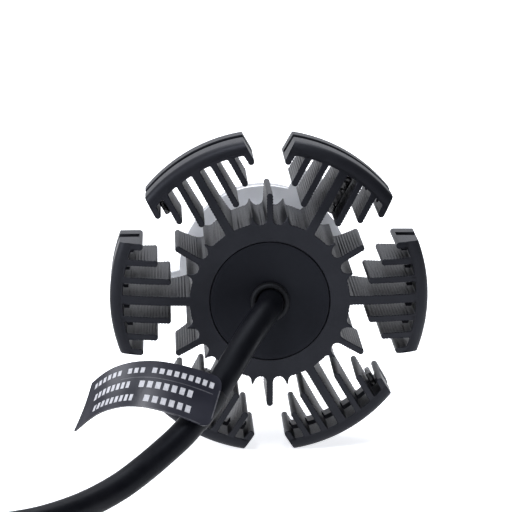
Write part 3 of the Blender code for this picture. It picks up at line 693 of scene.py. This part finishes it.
def make_label():
    surface = LabelSurface()
    thick = 0.22
    bm = bmesh.new()
    sides = []
    for lift in (thick, -thick):
        sides.append([
            [bm.verts.new(surface.point(u, v, lift)) for u, v in row] for row in label_rows(surface)
        ])
    front, back = sides
    columns, rows = len(front), len(front[0])
    for i in range(columns - 1):
        for j in range(rows - 1):
            bm.faces.new((front[i][j], front[i + 1][j], front[i + 1][j + 1], front[i][j + 1]))
            bm.faces.new((back[i][j], back[i][j + 1], back[i + 1][j + 1], back[i + 1][j]))
    for i in range(columns - 1):
        for j in (0, rows - 1):
            bm.faces.new((front[i][j], back[i][j], back[i + 1][j], front[i + 1][j]))
    for j in range(rows - 1):
        for i in (0, columns - 1):
            bm.faces.new((front[i][j], front[i][j + 1], back[i][j + 1], back[i][j]))
    bmesh.ops.remove_doubles(bm, verts=bm.verts, dist=1e-5)
    label = placed(made("label", bm, 50.0), "label", "label_flag")
    dashes = placed(made("label_dashes", make_dashes(surface, thick + 0.03)), "ink")
    # three lighter lines, painted highlights: one along the strip where a crease catches the light, one
    # along its lower edge and one across its right end
    bm = bmesh.new()
    strip(bm, surface, 1.2, surface.length - 8.0, 0.345, 0.362, thick + 0.02)
    strip(bm, surface, 2.0, 13.0, 0.978, 0.994, thick + 0.02)
    strip(bm, surface, 0.05, 0.28, 0.24, 0.8, thick + 0.02)
    lines = placed(made("label_highlight_lines", bm), "painted_highlight")
    return [label, dashes, lines, make_label_loop(surface)]


def make_label_loop(surface):
    """The sleeve that holds the strip's right end to the lead."""
    line = cord_line(0.5)
    near = min(range(len(line)), key=lambda i: (line[i] - surface.point(2.0, 0.5)).length)
    span, sides = 7, 40
    bm = bmesh.new()
    rings = []
    for i in range(near - span, near + span + 1):
        ahead = (line[i + 1] - line[i - 1]).normalized()
        side = ahead.cross(Vector((0.0, 0.0, 1.0))).normalized()
        up = side.cross(ahead)
        reach = CORD_R + (0.03 if abs(i - near) == span else 0.18)
        rings.append([
            bm.verts.new(line[i] + (side * math.cos(a) + up * math.sin(a)) * reach)
            for a in (math.tau * k / sides for k in range(sides))
        ])
    for a, b in zip(rings, rings[1:]):
        for k in range(sides):
            bm.faces.new((a[k], a[(k + 1) % sides], b[(k + 1) % sides], b[k]))
    return placed(made("label_loop", bm, 50.0), "rubber", slot="label")


# ---- The plug ----


PLUG_X, PLUG_Z = -98.0, -21.6
PLUG_FROM, PLUG_TO = -18.0, 4.0


def make_plug():
    """A three-blade lamp plug with grip ribs, a front collar, a ribbed boot and brass blades."""
    half_x, half_z = 9.5, 8.5
    outline = rounded([
        (-half_x, -half_z), (half_x, -half_z), (half_x, half_z - 3.2), (half_x - 3.2, half_z),
        (-half_x + 3.2, half_z), (-half_x, half_z - 3.2),
    ], 1.2, 5, True)
    body = prism(
        "plug_body", [(PLUG_X + x, PLUG_Z + z) for x, z in outline], PLUG_FROM, PLUG_TO, 0.6,
    )
    collar = rounded([
        (-half_x + 1.0, -half_z + 1.0), (half_x - 1.0, -half_z + 1.0), (half_x - 1.0, half_z - 3.4),
        (half_x - 3.4, half_z - 1.0), (-half_x + 3.4, half_z - 1.0), (-half_x + 1.0, half_z - 3.4),
    ], 1.0, 4, True)
    grown = [(PLUG_X + x * 1.3, PLUG_Z + z * 1.3) for x, z in collar]
    shoulder = prism("shoulder", grown, PLUG_TO - 4.6, PLUG_TO - 3.9)
    core = prism("core", [(PLUG_X + x, PLUG_Z + z) for x, z in collar], PLUG_TO - 6.0, PLUG_TO - 2.0)
    cut(body, cut(shoulder, core))
    for k in range(5):
        y = PLUG_FROM + 3.0 + 2.2 * k
        for side in (-1, 1):
            groove = block(
                "groove", (PLUG_X + side * half_x - 0.5, y, PLUG_Z - 5.5),
                (PLUG_X + side * half_x + 0.5, y + 1.0, PLUG_Z + 3.6), 0.2,
            )
            cut(body, groove)
    pins = (("left", -5.0, -2.0, True), ("right", 5.0, -2.0, True), ("top", 0.0, 5.2, False))
    for name, x, z, upright in pins:
        room_x, room_z = (0.7, 4.1) if upright else (4.1, 0.7)
        slot = block(
            "slot", (PLUG_X + x - room_x, PLUG_TO - 1.0, PLUG_Z + z - room_z),
            (PLUG_X + x + room_x, PLUG_TO + 1.0, PLUG_Z + z + room_z), 0.0,
        )
        cut(body, slot)
    placed(body, "plastic", "plug_housing")
    rear = PLUG_FROM - 0.3
    # the boot takes in the lead's end and reaches into the plug, so that neither joint shows a gap
    profile = [(0.0, rear - 9.8), (3.1, rear - 9.8), (3.3, rear - 9.6)]
    for k in range(4):
        y = rear - 8.2 + 2.0 * k
        r = 3.35 + 0.28 * k
        profile += [(r, y), (r - 0.3, y + 0.35), (r - 0.28, y + 0.9), (r + 0.1, y + 1.25)]
    profile += [(4.6, rear - 0.4), (4.5, rear + 0.6), (0.0, rear + 0.6)]
    boot = moved(turned("plug_strain_relief", profile, 64, 40.0), (PLUG_X, 0.0, PLUG_Z))
    placed(boot, "rubber", "plug_boot")
    found = [body, boot]
    low, high = PLUG_TO - 0.7, PLUG_TO + 13.3
    shape = [(-3.8, low), (3.8, low), (3.8, high - 1.6), (2.9, high), (-2.9, high), (-3.8, high - 1.6)]
    for name, x, z, upright in pins:
        bm = bmesh.new()
        face = bm.faces.new([bm.verts.new((a, b, -0.4)) for a, b in rounded(shape, 0.5, 3, True)])
        grown = bmesh.ops.extrude_face_region(bm, geom=[face])
        for vert in grown["geom"]:
            if isinstance(vert, bmesh.types.BMVert):
                vert.co.z = 0.4
        bmesh.ops.recalc_face_normals(bm, faces=bm.faces)
        rims = [e for e in bm.edges if abs(e.verts[0].co.z - e.verts[1].co.z) < 1e-6]
        bmesh.ops.bevel(bm, geom=rims, offset=0.14, segments=2, affect="EDGES", profile=0.5)
        blade = drilled(
            made(f"plug_pin_{name}", bm), 0.9, -2.0, 2.0, (0.0, high - 3.4, 0.0), ACROSS_Z,
        )
        if upright:
            moved(blade, degrees=90)
        moved(blade, (PLUG_X + x, 0.0, PLUG_Z + z))
        placed(blade, "brass", f"plug_blade_{name}")
        found.append(blade)
    return found


# ---- The heatsink ----


RIM_R, RIM_INNER_R, ARM_HALF = 30.4, 27.9, 10.8
FIN_HALF, SPOKE_HALF = 0.625, 0.9
ARM_FINS = ((10.175, 24.0), (7.15, 21.2), (3.75, 18.7))
HUB_R, HUB_FIN_R, CORE_R = 15.2, 20.6, 14.5
RIDGE_PITCH, RIDGE_DEPTH = 0.56, 0.085
SLOT_R, SLOT_FROM, SLOT_TO = 26.9, 9.4, 12.5
EDGE = 0.13
SOFT, SOFT_DEPTH = 2.0, 1.5
DOME_FROM, DOME_SPAN, DOME_DROP = 15.3, 14.7, 3.0
FRONT_STEPS = ((15.3, 22.0), (17.0, 19.6), (19.5, 17.8), (23.0, 17.0), (26.0, 16.7), (30.0, 16.5))
REAR_CAP, FRONT_CAP, SLOT_REAR_CAP, SLOT_FRONT_CAP = 1, 2, 3, 4
LONGEST_EDGE = 1.7


def on_rim(radius):
    """How much of the rims' outer rounding there is at a radius, from 0 to 1."""
    return min(1.0, max(0.0, (radius - 28.3) / 2.1))


def rear_set_back(radius):
    """How far the domed rear face lies in front of the hub's rear at a radius."""
    return DOME_DROP * max(0.0, (radius - DOME_FROM) / DOME_SPAN) ** 2


def front_reach(radius):
    """How far the front face lies in front of the hub's rear at a radius."""
    if radius <= FRONT_STEPS[0][0]:
        return FRONT_STEPS[0][1]
    for (r0, s0), (r1, s1) in zip(FRONT_STEPS, FRONT_STEPS[1:]):
        if radius <= r1:
            return s0 + (s1 - s0) * (radius - r0) / (r1 - r0)
    return FRONT_STEPS[-1][1]


def ridged(a, b):
    """A straight side with fine ridges: pairs of a point on the flat side and the same with ridges."""
    a, b = Vector(a), Vector(b)
    along = b - a
    out = Vector((along.y, -along.x)).normalized()
    count = max(1, round(along.length / RIDGE_PITCH))
    pairs = []
    for k in range(2 * count + 1):
        base = a + along * k / (2 * count)
        pairs.append((base, base - out * RIDGE_DEPTH if k % 2 else base.copy()))
    return pairs


def ridged_arc(radius, start, end):
    """An arc of the hub with fine ridges, angles in degrees."""
    count = max(1, round(math.radians(abs(end - start)) * radius / RIDGE_PITCH))
    pairs = []
    for k in range(2 * count + 1):
        a = math.radians(start + (end - start) * k / (2 * count))
        out = Vector((math.cos(a), math.sin(a)))
        pairs.append((out * radius, out * (radius - (RIDGE_DEPTH if k % 2 else 0.0))))
    return pairs


def plain(points):
    """Pairs for points where the side has no ridges."""
    return [(Vector(p), Vector(p)) for p in points]


def polar(radius, degrees):
    return radius * math.cos(math.radians(degrees)), radius * math.sin(math.radians(degrees))


def rim_root(high, low):
    """The curved foot of the valley between two fins, with small round corners."""
    start = (math.sqrt(RIM_INNER_R**2 - high**2), high)
    end = (math.sqrt(RIM_INNER_R**2 - low**2), low)
    middle = (high + low) / 2
    return rounded([
        (start[0] - 0.9, high), start, (math.sqrt(RIM_INNER_R**2 - middle**2), middle), end,
        (end[0] - 0.9, low),
    ], 0.3, 3)


def half_outline():
    """From the middle of an arm's rim round its fins and spoke to the middle of the hub's long fin."""
    corner = math.degrees(math.asin(ARM_HALF / RIM_R))
    pairs = plain(arc(RIM_R, 0.0, corner - 0.7, 14))
    edge = (RIM_R * math.cos(math.radians(corner)), ARM_HALF)
    pairs += plain(rounded([polar(RIM_R, corner - 0.7), edge, (edge[0] - 0.4, ARM_HALF)], 0.35, 3)[1:-1])
    pairs += plain([(edge[0] - 0.5, ARM_HALF), (ARM_FINS[0][1] + 1.6, ARM_HALF)])
    for number, (middle, tip) in enumerate(ARM_FINS):
        outer, inner = middle + FIN_HALF, middle - FIN_HALF
        pairs += plain(arc(FIN_HALF, 90, 270, 8, (tip + FIN_HALF, middle)))
        lower = ARM_FINS[number + 1][0] + FIN_HALF if number < 2 else SPOKE_HALF
        root = rim_root(inner, lower)
        pairs += ridged((tip + FIN_HALF, inner), (root[0][0], inner))[1:]
        pairs += plain(root[1:-1])
        end = ARM_FINS[number + 1][1] + FIN_HALF if number < 2 else 15.6
        pairs += ridged((root[-1][0], lower), (end, lower))
        if number < 2:
            pairs.pop()
    # the hub, in degrees from the spoke: a valley, a tooth, a round valley and the long fin at 30
    pairs += plain(rounded([(15.6, SPOKE_HALF), (15.17, SPOKE_HALF), polar(HUB_R, 5.2)], 0.4, 3)[1:])
    pairs += ridged_arc(HUB_R, 5.6, 15.0)[1:]
    pairs += plain([
        polar(15.45, 16.3), polar(15.9, 17.2), polar(16.4, 17.75), polar(16.55, 18.1),
        polar(16.55, 18.5), polar(16.4, 18.85), polar(15.9, 19.15), polar(15.35, 20.0),
        polar(15.0, 21.1),
    ])
    pairs += ridged_arc(14.85, 22.0, 25.4)
    axis = Vector(polar(1.0, 30))
    across = Vector((axis.y, -axis.x))
    pairs += plain([
        axis * 14.92 + across * 1.05, axis * 15.12 + across * 0.82, axis * 15.45 + across * 0.68,
    ])
    pairs += ridged(axis * 15.7 + across * 0.64, axis * (HUB_FIN_R - 0.6) + across * 0.62)
    tip_half = 0.62
    tip = axis * (HUB_FIN_R - tip_half)
    for turn in (30, 60, 90):
        a = math.radians(turn)
        pairs += plain([tip + axis * tip_half * math.sin(a) + across * tip_half * math.cos(a)])
    return pairs


def whole_outline():
    """The extrusion's outline: the half outline, mirrored and turned to all six arms."""
    half = half_outline()
    mirrored = [(Vector((b.x, -b.y)), Vector((s.x, -s.y))) for b, s in half[:0:-1]]
    whole = mirrored + half[:-1]
    outline = []
    for arm in range(6):
        turn = Matrix.Rotation(math.tau * arm / 6, 2)
        outline += [(turn @ b, turn @ s) for b, s in whole]
    # no two neighbours at one place
    return [p for p, q in zip(outline, outline[1:] + outline[:1]) if (p[0] - q[0]).length > 1e-4]


def inward(outline):
    """For each point of an outline, the way in from its corner, as long as moves both its sides by one."""
    count = len(outline)
    ways = []
    for i in range(count):
        here = outline[i][0]
        before = (here - outline[i - 1][0]).normalized()
        after = (outline[(i + 1) % count][0] - here).normalized()
        left = (Vector((-before.y, before.x)) + Vector((-after.y, after.x))).normalized()
        ways.append(left / max(0.5, left.dot(Vector((-after.y, after.x)))))
    return ways


class Slab:
    """One closed-off layer of the extrusion: two caps with a round hole, chamfered rims, ridged sides."""

    def __init__(self, bm, outline, ways):
        self.bm, self.outline, self.ways = bm, outline, ways
        self.caps = bm.faces.layers.int.get("cap") or bm.faces.layers.int.new("cap")

    def ring(self, height, inset, soft=0.0):
        """A loop of points from their depth and their way in at a radius, the rims' outer edge drawn in."""
        ring = []
        for (base, shaped), way in zip(self.outline, self.ways):
            radius = base.length
            step = inset(radius)
            spot = base + way * step if step else shaped.copy()
            if soft and on_rim(radius):
                spot = self.drawn_in(spot, soft * on_rim(radius))
            ring.append(self.bm.verts.new((spot.x, REAR + height(radius), spot.y)))
        return ring

    def drawn_in(self, spot, reach):
        """Moves a point of a rim towards the axis, along its own arm's spoke."""
        arm = round(math.degrees(math.atan2(spot.y, spot.x)) / 60)
        turn = Matrix.Rotation(math.radians(60 * arm), 2)
        local = turn.transposed() @ spot
        return turn @ Vector((math.sqrt((spot.length - reach) ** 2 - local.y**2), local.y))

    def wall(self, a, b):
        for i in range(len(a)):
            j = (i + 1) % len(a)
            self.bm.faces.new((a[i], a[j], b[j], b[i]))

    def cap(self, ring, height, code):
        """Fills a ring, round the hub's core, with triangles that carry the cap's code."""
        hole = [
            self.bm.verts.new((x, REAR + height(CORE_R), z)) for x, z in arc(CORE_R, 0, 360, 180)[:-1]
        ]
        verts = ring + hole
        flat = [[(v.co.x, v.co.z, 0.0) for v in ring], [(v.co.x, v.co.z, 0.0) for v in hole]]
        for corners in tessellate_polygon(flat):
            triangle = [verts[k] for k in corners]
            if len(set(corners)) == 3 and not self.bm.faces.get(triangle):
                self.bm.faces.new(triangle)[self.caps] = code

    def refine(self, height, code):
        """Splits a cap's long inner edges, so that its face follows the dome and not flat triangles."""
        for _ in range(4):
            inner = [
                e for e in self.bm.edges
                if e.calc_length() > LONGEST_EDGE and len(e.link_faces) == 2
                and all(f[self.caps] == code for f in e.link_faces)
            ]
            if not inner:
                break
            split = bmesh.ops.subdivide_edges(self.bm, edges=inner, cuts=1)
            for item in split["geom_inner"]:
                if isinstance(item, bmesh.types.BMVert):
                    item.co.y = REAR + height(math.hypot(item.co.x, item.co.z))
            faces = [f for f in self.bm.faces if f[self.caps] == code and len(f.verts) > 3]
            bmesh.ops.triangulate(self.bm, faces=faces)


def dome_slope(radius, code):
    """The rise of a cap's face along its radius."""
    if code == REAR_CAP:
        return 2 * DOME_DROP * max(0.0, radius - DOME_FROM) / DOME_SPAN**2
    if code == FRONT_CAP:
        return (front_reach(radius + 0.6) - front_reach(radius - 0.6)) / 1.2
    return 0.0


def make_fins():
    """The arms and the outer hub, in three layers: before, inside and after the slot in the rims."""
    outline = whole_outline()
    ways = inward(outline)
    bm = bmesh.new()
    slab = Slab(bm, outline, ways)
    at_rim = lambda radius: EDGE if radius > 28.2 else 0.0
    everywhere = lambda radius: EDGE
    nowhere = lambda radius: 0.0
    rear_cap = slab.ring(rear_set_back, everywhere, SOFT)
    rear_side = rear_cap
    # the rims' outer rounding, in nine steps of 10 degrees
    for k in range(1, 10):
        share = math.sin(math.radians(10 * k))
        drop = SOFT_DEPTH * (1 - math.cos(math.radians(10 * k)))
        before = rear_side
        rear_side = slab.ring(
            lambda r: rear_set_back(r) + drop * on_rim(r) + EDGE * (1 - on_rim(r)), nowhere,
            SOFT * (1 - share),
        )
        slab.wall(before, rear_side)
    slot_side = slab.ring(lambda r: SLOT_FROM - at_rim(r), nowhere)
    slot_cap = slab.ring(lambda r: SLOT_FROM, at_rim)
    slab.wall(rear_side, slot_side)
    slab.wall(slot_side, slot_cap)
    slab.cap(rear_cap, rear_set_back, REAR_CAP)
    slab.cap(slot_cap, lambda r: SLOT_FROM, SLOT_REAR_CAP)
    slot_cap = slab.ring(lambda r: SLOT_TO, at_rim)
    slot_side = slab.ring(lambda r: SLOT_TO + at_rim(r), nowhere)
    front_side = slab.ring(lambda r: front_reach(r) - EDGE, nowhere)
    front_cap = slab.ring(front_reach, everywhere)
    slab.wall(slot_cap, slot_side)
    slab.wall(slot_side, front_side)
    slab.wall(front_side, front_cap)
    slab.cap(slot_cap, lambda r: SLOT_TO, SLOT_FRONT_CAP)
    slab.cap(front_cap, front_reach, FRONT_CAP)
    slab.refine(rear_set_back, REAR_CAP)
    slab.refine(front_reach, FRONT_CAP)
    add_slot_layer(bm, outline)
    bmesh.ops.remove_doubles(bm, verts=bm.verts, dist=1e-5)
    fins = made("heatsink_fins", bm, 25.0)
    set_cap_normals(fins.data)
    core = make_core()
    placed(fins, "anodised", "heatsink_hub", *(f"heatsink_arm_{k}" for k in range(1, 7)))
    placed(core, "anodised")


def add_slot_layer(bm, outline):
    """The sides between the rims' two halves, where only what is inside the slot's radius goes through."""
    count = len(outline)
    inside = [base.length < SLOT_R for base, shaped in outline]
    start = next(i for i in range(count) if inside[i] and not inside[i - 1])
    runs, run = [], []
    for k in range(count):
        i = (start + k) % count
        if inside[i]:
            run.append(outline[i][1])
        elif run:
            runs.append(run)
            run = []
    if run:
        runs.append(run)
    for run in runs:
        for end, beyond in ((0, 1), (-1, -2)):
            along = (run[end] - run[beyond]).normalized()
            run.insert(0 if end == 0 else len(run), run[end] + along * (SLOT_R - run[end].length))
    closing = []
    for number, run in enumerate(runs):
        if (run[0] - run[-1]).length < 2.6:
            closing.append((run[-1], run[0]))
        else:
            following = next(
                other[0] for other in runs if other is not run and (other[0] - run[-1]).length < 2.2
            )
            closing.append((run[-1], following))
    low, high = REAR + SLOT_FROM - 0.01, REAR + SLOT_TO + 0.01
    for path in runs + closing:
        lower = [bm.verts.new((p.x, low, p.y)) for p in path]
        upper = [bm.verts.new((p.x, high, p.y)) for p in path]
        for k in range(len(path) - 1):
            bm.faces.new((lower[k], lower[k + 1], upper[k + 1], upper[k]))


def set_cap_normals(mesh):
    """Shades the domed faces by the dome's own slope, whatever their triangles are."""
    codes = mesh.attributes["cap"].data
    normals = [Vector((0.0, 0.0, 0.0))] * len(mesh.loops)
    for face in mesh.polygons:
        code = codes[face.index].value
        if not code:
            continue
        side = -1.0 if code in (REAR_CAP, SLOT_FRONT_CAP) else 1.0
        for loop in face.loop_indices:
            place = mesh.vertices[mesh.loops[loop].vertex_index].co / MM
            radius = math.hypot(place.x, place.z)
            slope = dome_slope(radius, code)
            outward = Vector((place.x, 0.0, place.z)) / radius
            normals[loop] = (Vector((0.0, side, 0.0)) - outward * slope * side).normalized()
    mesh.normals_split_custom_set(normals)


LEAD_HOLE_R, SCREW_HOLE_R = 2.2, 1.3
FRONT_HOLES = [(0.0, 0.0, LEAD_HOLE_R)]
FRONT_HOLES += [(*polar(5.8, 90 + 120 * k), SCREW_HOLE_R) for k in range(3)]


def make_core():
    """The middle of the hub: the cover's recess, the driver's cavity and the drilled front wall."""
    core = turned("heatsink_core", [
        (0.0, REAR + 16.0), (10.2, REAR + 16.0), (10.2, REAR + 2.8), (11.45, REAR + 2.8),
        (11.45, REAR + 0.1), (11.55, REAR), (CORE_R + 0.01, REAR), (CORE_R + 0.01, REAR + 22.0),
        (0.0, REAR + 22.0),
    ], 144)
    for x, z, radius in FRONT_HOLES:
        drilled(core, radius, REAR + 15.0, REAR + 23.0, (x, 0.0, z))
    return core


def make_pads():
    """Black rubber pads in four of the arms' valleys, as rounded blocks."""
    short = (8.66, 0.5, 23.2, 25.9)
    long = (-1.99, 0.75, 19.4, 27.2)
    for number, (angle, kind) in enumerate(((120, short), (60, long), (300, short), (240, long)), 1):
        middle, half, u_from, u_to = kind
        pad = block(
            f"rubber_pad_{number}", (u_from, REAR + 6.2, middle - half),
            (u_to, REAR + 11.8, middle + half), 0.3, 4,
        )
        placed(turn_about_y(pad, angle), "pad", f"damper_pad_{number}")


def make_cover():
    """The dished rear cover, with a soft edge in the recess."""
    profile = rounded([
        (3.45, REAR + 1.6), (3.45, REAR + 0.35), (4.2, REAR + 0.35), (7.5, REAR + 0.22),
        (10.2, REAR + 0.05), (11.3, REAR + 0.02), (11.3, REAR + 1.6),
    ], 0.16, 4, True)
    placed(turned("rear_disc", profile, 144), "cover", "rear_cover")


# ---- In front of the heatsink ----


def make_body():
    """The lamp body: its plate on the heatsink, the neck with its ring groove, and the ring."""
    base = REAR + 22.3
    body = turned("bulb_body", rounded([
        (0.0, base), (13.5, base), (13.5, base + 2.2), (11.4, base + 2.2), (11.4, base + 1.9),
        (10.5, base + 1.9), (10.5, -1.2), (9.6, -1.2), (9.6, 0.2), (10.5, 0.2), (10.5, 4.4), (10.2, 4.5),
        (10.2, 4.9), (10.5, 5.0), (10.5, 6.0), (8.6, 9.0), (0.0, 9.0),
    ], 0.18, 3), 128)
    for x, z, radius in FRONT_HOLES:
        reach = 3.0 if radius == LEAD_HOLE_R else REAR + 26.5
        drilled(body, radius, base - 1, reach, (x, 0.0, z))
    cut(body, block("socket", (-1.8, 2.0, -5.8), (1.8, 10.0, 5.8), 0.0))
    placed(body, "anodised", "lamp_body")
    section = arc(0.4, 0, 360, 16, (10.08, -0.5))[:-1]
    placed(turned("o_ring", section, 96, 60.0), "rubber", "neck_ring")


def make_screw(name, side, y):
    """A small brass screw with a cross recess, its head out along X."""
    seat = 3.1
    screw = turned(name, [
        (0.0, 0.35), (0.5, 0.35), (0.6, 0.5), (0.6, seat), (1.35, seat), (1.5, seat + 0.12),
        (1.48, seat + 0.4), (1.3, seat + 0.68), (0.9, seat + 0.85), (0.0, seat + 0.9),
    ], 40)
    for turn in (0, 90):
        bar = block("bar", (-0.85, seat + 0.35, -0.16), (0.85, seat + 2.0, 0.16), 0.0)
        cut(screw, moved(bar, degrees=turn))
    return moved(screw, (0.0, y, 0.0), -side * 90, "Z")


def sided(side, low, high):
    """Two corners given for the right side, the same or mirrored to the left."""
    xs = sorted((side * low[0], side * high[0]))
    return (xs[0], *low[1:]), (xs[1], *high[1:])


def make_blade():
    """The copper blade with, on each side, a board, two LED rows, two screws and a shield."""
    screws = {"rear": 13.5, "front": 37.5}
    blade = block("blade", (-1.5, 2.3, -5.5), (1.5, 42.0, 5.5), 0.2)
    for y in screws.values():
        drilled(blade, 0.9, -4.0, 4.0, (0.0, y, 0.0), ACROSS_X)
    placed(blade, "copper", "core_blade")
    for side_name, side in SIDES:
        board = block(f"board_{side_name}", *sided(side, (1.8, 9.3, -5.0), (2.75, 40.5, 5.0)), 0.12)
        skin = block(f"mask_{side_name}", *sided(side, (2.76, 9.6, -4.75), (2.8, 40.2, 4.75)), 0.0)
        for y in screws.values():
            drilled(board, 0.9, -4.0, 4.0, (0.0, y, 0.0), ACROSS_X)
            drilled(skin, 1.65, -4.0, 4.0, (0.0, y, 0.0), ACROSS_X)
        placed(board, "copper", f"led_board_{side_name}")
        placed(skin, "mask")
        pads = [
            block("pad", *sided(side, (2.79, y, z), (2.84, y + long, z + wide)), 0.0)
            for y, long, z, wide in (
                (10.6, 1.4, 2.6, 1.4), (10.6, 1.4, -4.0, 1.4), (16.2, 8.4, 2.4, 0.5), (16.2, 8.4, -2.9, 0.5),
                (26.2, 8.4, 2.4, 0.5), (26.2, 8.4, -2.9, 0.5), (12.2, 4.0, 3.0, 0.45),
                (12.2, 4.0, -3.45, 0.45), (24.6, 1.6, 2.4, 0.5), (24.6, 1.6, -2.9, 0.5),
            )
        ]
        placed(joined(f"traces_{side_name}", pads), "copper")
        for row, y_from in (("high", 17.5), ("low", 27.5)):
            make_led_row(row, y_from, side_name, side)
        for place, y in screws.items():
            screw = make_screw(f"screw_{side_name}_{place}", side, y)
            placed(screw, "brass", f"board_screw_{side_name}_{place}")
        make_shield(side_name, side)


def make_led_row(row, y_from, side_name, side):
    """A white frame with three yellow chips."""
    corners = sided(side, (3.1, y_from, -1.1), (3.55, y_from + 6.0, 1.1))
    name = f"{row}_{side_name}"
    placed(block(f"led_frame_{name}", *corners, 0.1), "mask", f"led_{name}")
    chips = []
    for k in range(3):
        low, high = (3.56, y_from + 0.2 + 1.95 * k, -0.85), (3.7, y_from + 1.9 + 1.95 * k, 0.85)
        chips.append(block("chip", *sided(side, low, high), 0.05))
    placed(joined(f"led_chips_{name}", chips), "phosphor")


def make_shield(side_name, side):
    """A scoop of thin bright sheet below the low-beam LEDs, closed at its front end."""
    centre = (4.0, 0.6)
    outer = arc(4.8, -100, -12, 24, centre)
    inner = arc(4.35, -12, -100, 24, centre)
    scoop = prism(
        f"shield_{side_name}", [(side * x, z) for x, z in (outer + inner)[:: int(side)]], 25.5, 36.0, 0.1,
    )
    fan = outer + [(4.0, 0.2)]
    end = prism("end", [(side * x, z) for x, z in fan[:: int(side)]], 35.5, 36.15, 0.08)
    cut(scoop, end, "UNION")
    placed(scoop, "shield", f"low_beam_shield_{side_name}")


def make_cap():
    """The domed end cap, with a groove round its rim."""
    radius, steps = 7.0, 14
    profile = [
        (0.0, 42.3), (6.5, 42.3), (6.85, 42.4), (radius, 42.75), (radius, 43.6), (6.8, 43.75),
        (6.8, 44.0), (radius, 44.15),
    ]
    for k in range(1, steps + 1):
        a = math.radians(90 * k / steps)
        profile.append((radius * math.cos(a) ** 0.8 if k < steps else 0.0, 44.4 + 4.8 * math.sin(a)))
    placed(turned("end_cap", profile, 112, 40.0), "plastic", "front_cap", slot="black_aluminium")


LUGS = ((60, 8.0), (191, 6.0), (300, 6.0))
LUG_R = 21.5


def make_flange():
    """The bright base: a plate with three round-cornered lugs, the widest notched, and a formed wall."""
    flange = turned("base_flange", rounded([
        (12.5, -1.2), (17.0, -1.2), (17.0, 0.0), (16.2, 0.0), (16.2, 6.6), (15.8, 7.0), (15.0, 7.0),
        (15.0, 0.0), (12.5, 0.0),
    ], 0.22, 4, True), 144)
    for angle, width in LUGS:
        half = math.degrees(math.asin(width / 2 / LUG_R))
        outline = [(16.5, -width / 2)] + arc(LUG_R, -half, half, 10) + [(16.5, width / 2)]
        lug = prism("lug", rounded(outline, 0.7, 4), -1.2, 0.0, 0.16)
        if width > 7:
            drilled(lug, 0.9, -3.0, 3.0, (21.7, 0.0, 0.0))
        cut(flange, turn_about_y(lug, angle), "UNION")
    placed(flange, "silver", "flange", body="flange_body")
    # one metal in two copies, split by which way a face looks: the plate's rear face is painted bright
    # (painted light), and the formed sides and front are painted darker (painted shade)
    flange.data.materials.append(LOOK["shell"])
    for face in flange.data.polygons:
        face.material_index = 0 if face.normal.y < -0.5 else 1


def make_sleeve():
    """The steel sleeve that slides on the neck, its snap ring and its two set screws."""
    set_screw_y = -4.2
    sleeve = turned("slide_sleeve", [
        (10.8, -6.5), (12.95, -6.5), (13.2, -6.25), (13.2, -6.0), (13.05, -5.9), (13.2, -5.8),
        (13.2, -2.6), (13.05, -2.5), (13.2, -2.4), (13.2, -1.75), (12.95, -1.5), (12.2, -1.5),
        (12.2, 0.1), (11.3, 0.1), (11.3, 1.4), (12.0, 1.4), (12.0, 2.0), (11.8, 2.2), (10.8, 2.2),
    ], 128)
    drilled(sleeve, 1.5, -20.0, 20.0, (0.0, set_screw_y, 0.0), ACROSS_X, 40)
    placed(sleeve, "steel", "collar_sleeve", body="sleeve")
    gap = 6.9
    outline = arc(13.35, 90 + gap, 450 - gap, 96) + arc(11.65, 450 - gap, 90 + gap, 96)
    ring = prism("retaining_ring", outline, 0.35, 1.15, 0.1)
    placed(ring, "steel", "snap_ring", body="sleeve")
    for side_name, side in SIDES:
        screw = turned("set_screw", [
            (0.0, 0.05), (0.8, 0.05), (1.2, 0.4), (1.2, 2.2), (1.05, 2.38), (0.0, 2.38),
        ], 48)
        cut(screw, prism("hexagon", arc(0.72, 0, 360, 6)[:-1], 1.3, 3.0))
        screw.name = f"grub_screw_{side_name}"
        moved(screw, (side * 10.8, set_screw_y, 0.0), -side * 90, "Z")
        node = f"set_screw_{side_name}"
        placed(screw, "steel", node, body=f"{node}_body")


def dress_hidden_nodes():
    """Materials for the CAD nodes that stay."""
    looks = {
        "cover_seal": "rubber", "driver_board": "board", "driver_inductor": "copper",
        "driver_capacitor_left": "steel", "driver_capacitor_right": "steel", "driver_chip": "plastic",
        "lead_wire_ground": "plastic", "lead_wire_low": "red", "lead_wire_high": "mask",
        "board_spacer": "mask", "led_wire_left": "red", "led_wire_right": "plastic",
        "body_screw_1": "steel", "body_screw_2": "steel", "body_screw_3": "steel",
    }
    for node, look in looks.items():
        for material_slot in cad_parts[node].material_slots:
            material_slot.material = LOOK[look]


def main():
    make_camera()
    make_studio()
    on_cord = make_label() + [make_tie()] + make_plug()
    make_cord()
    make_grommet()
    make_cover()
    make_fins()
    make_pads()
    make_body()
    make_blade()
    make_cap()
    make_flange()
    make_sleeve()
    dress_hidden_nodes()


main()
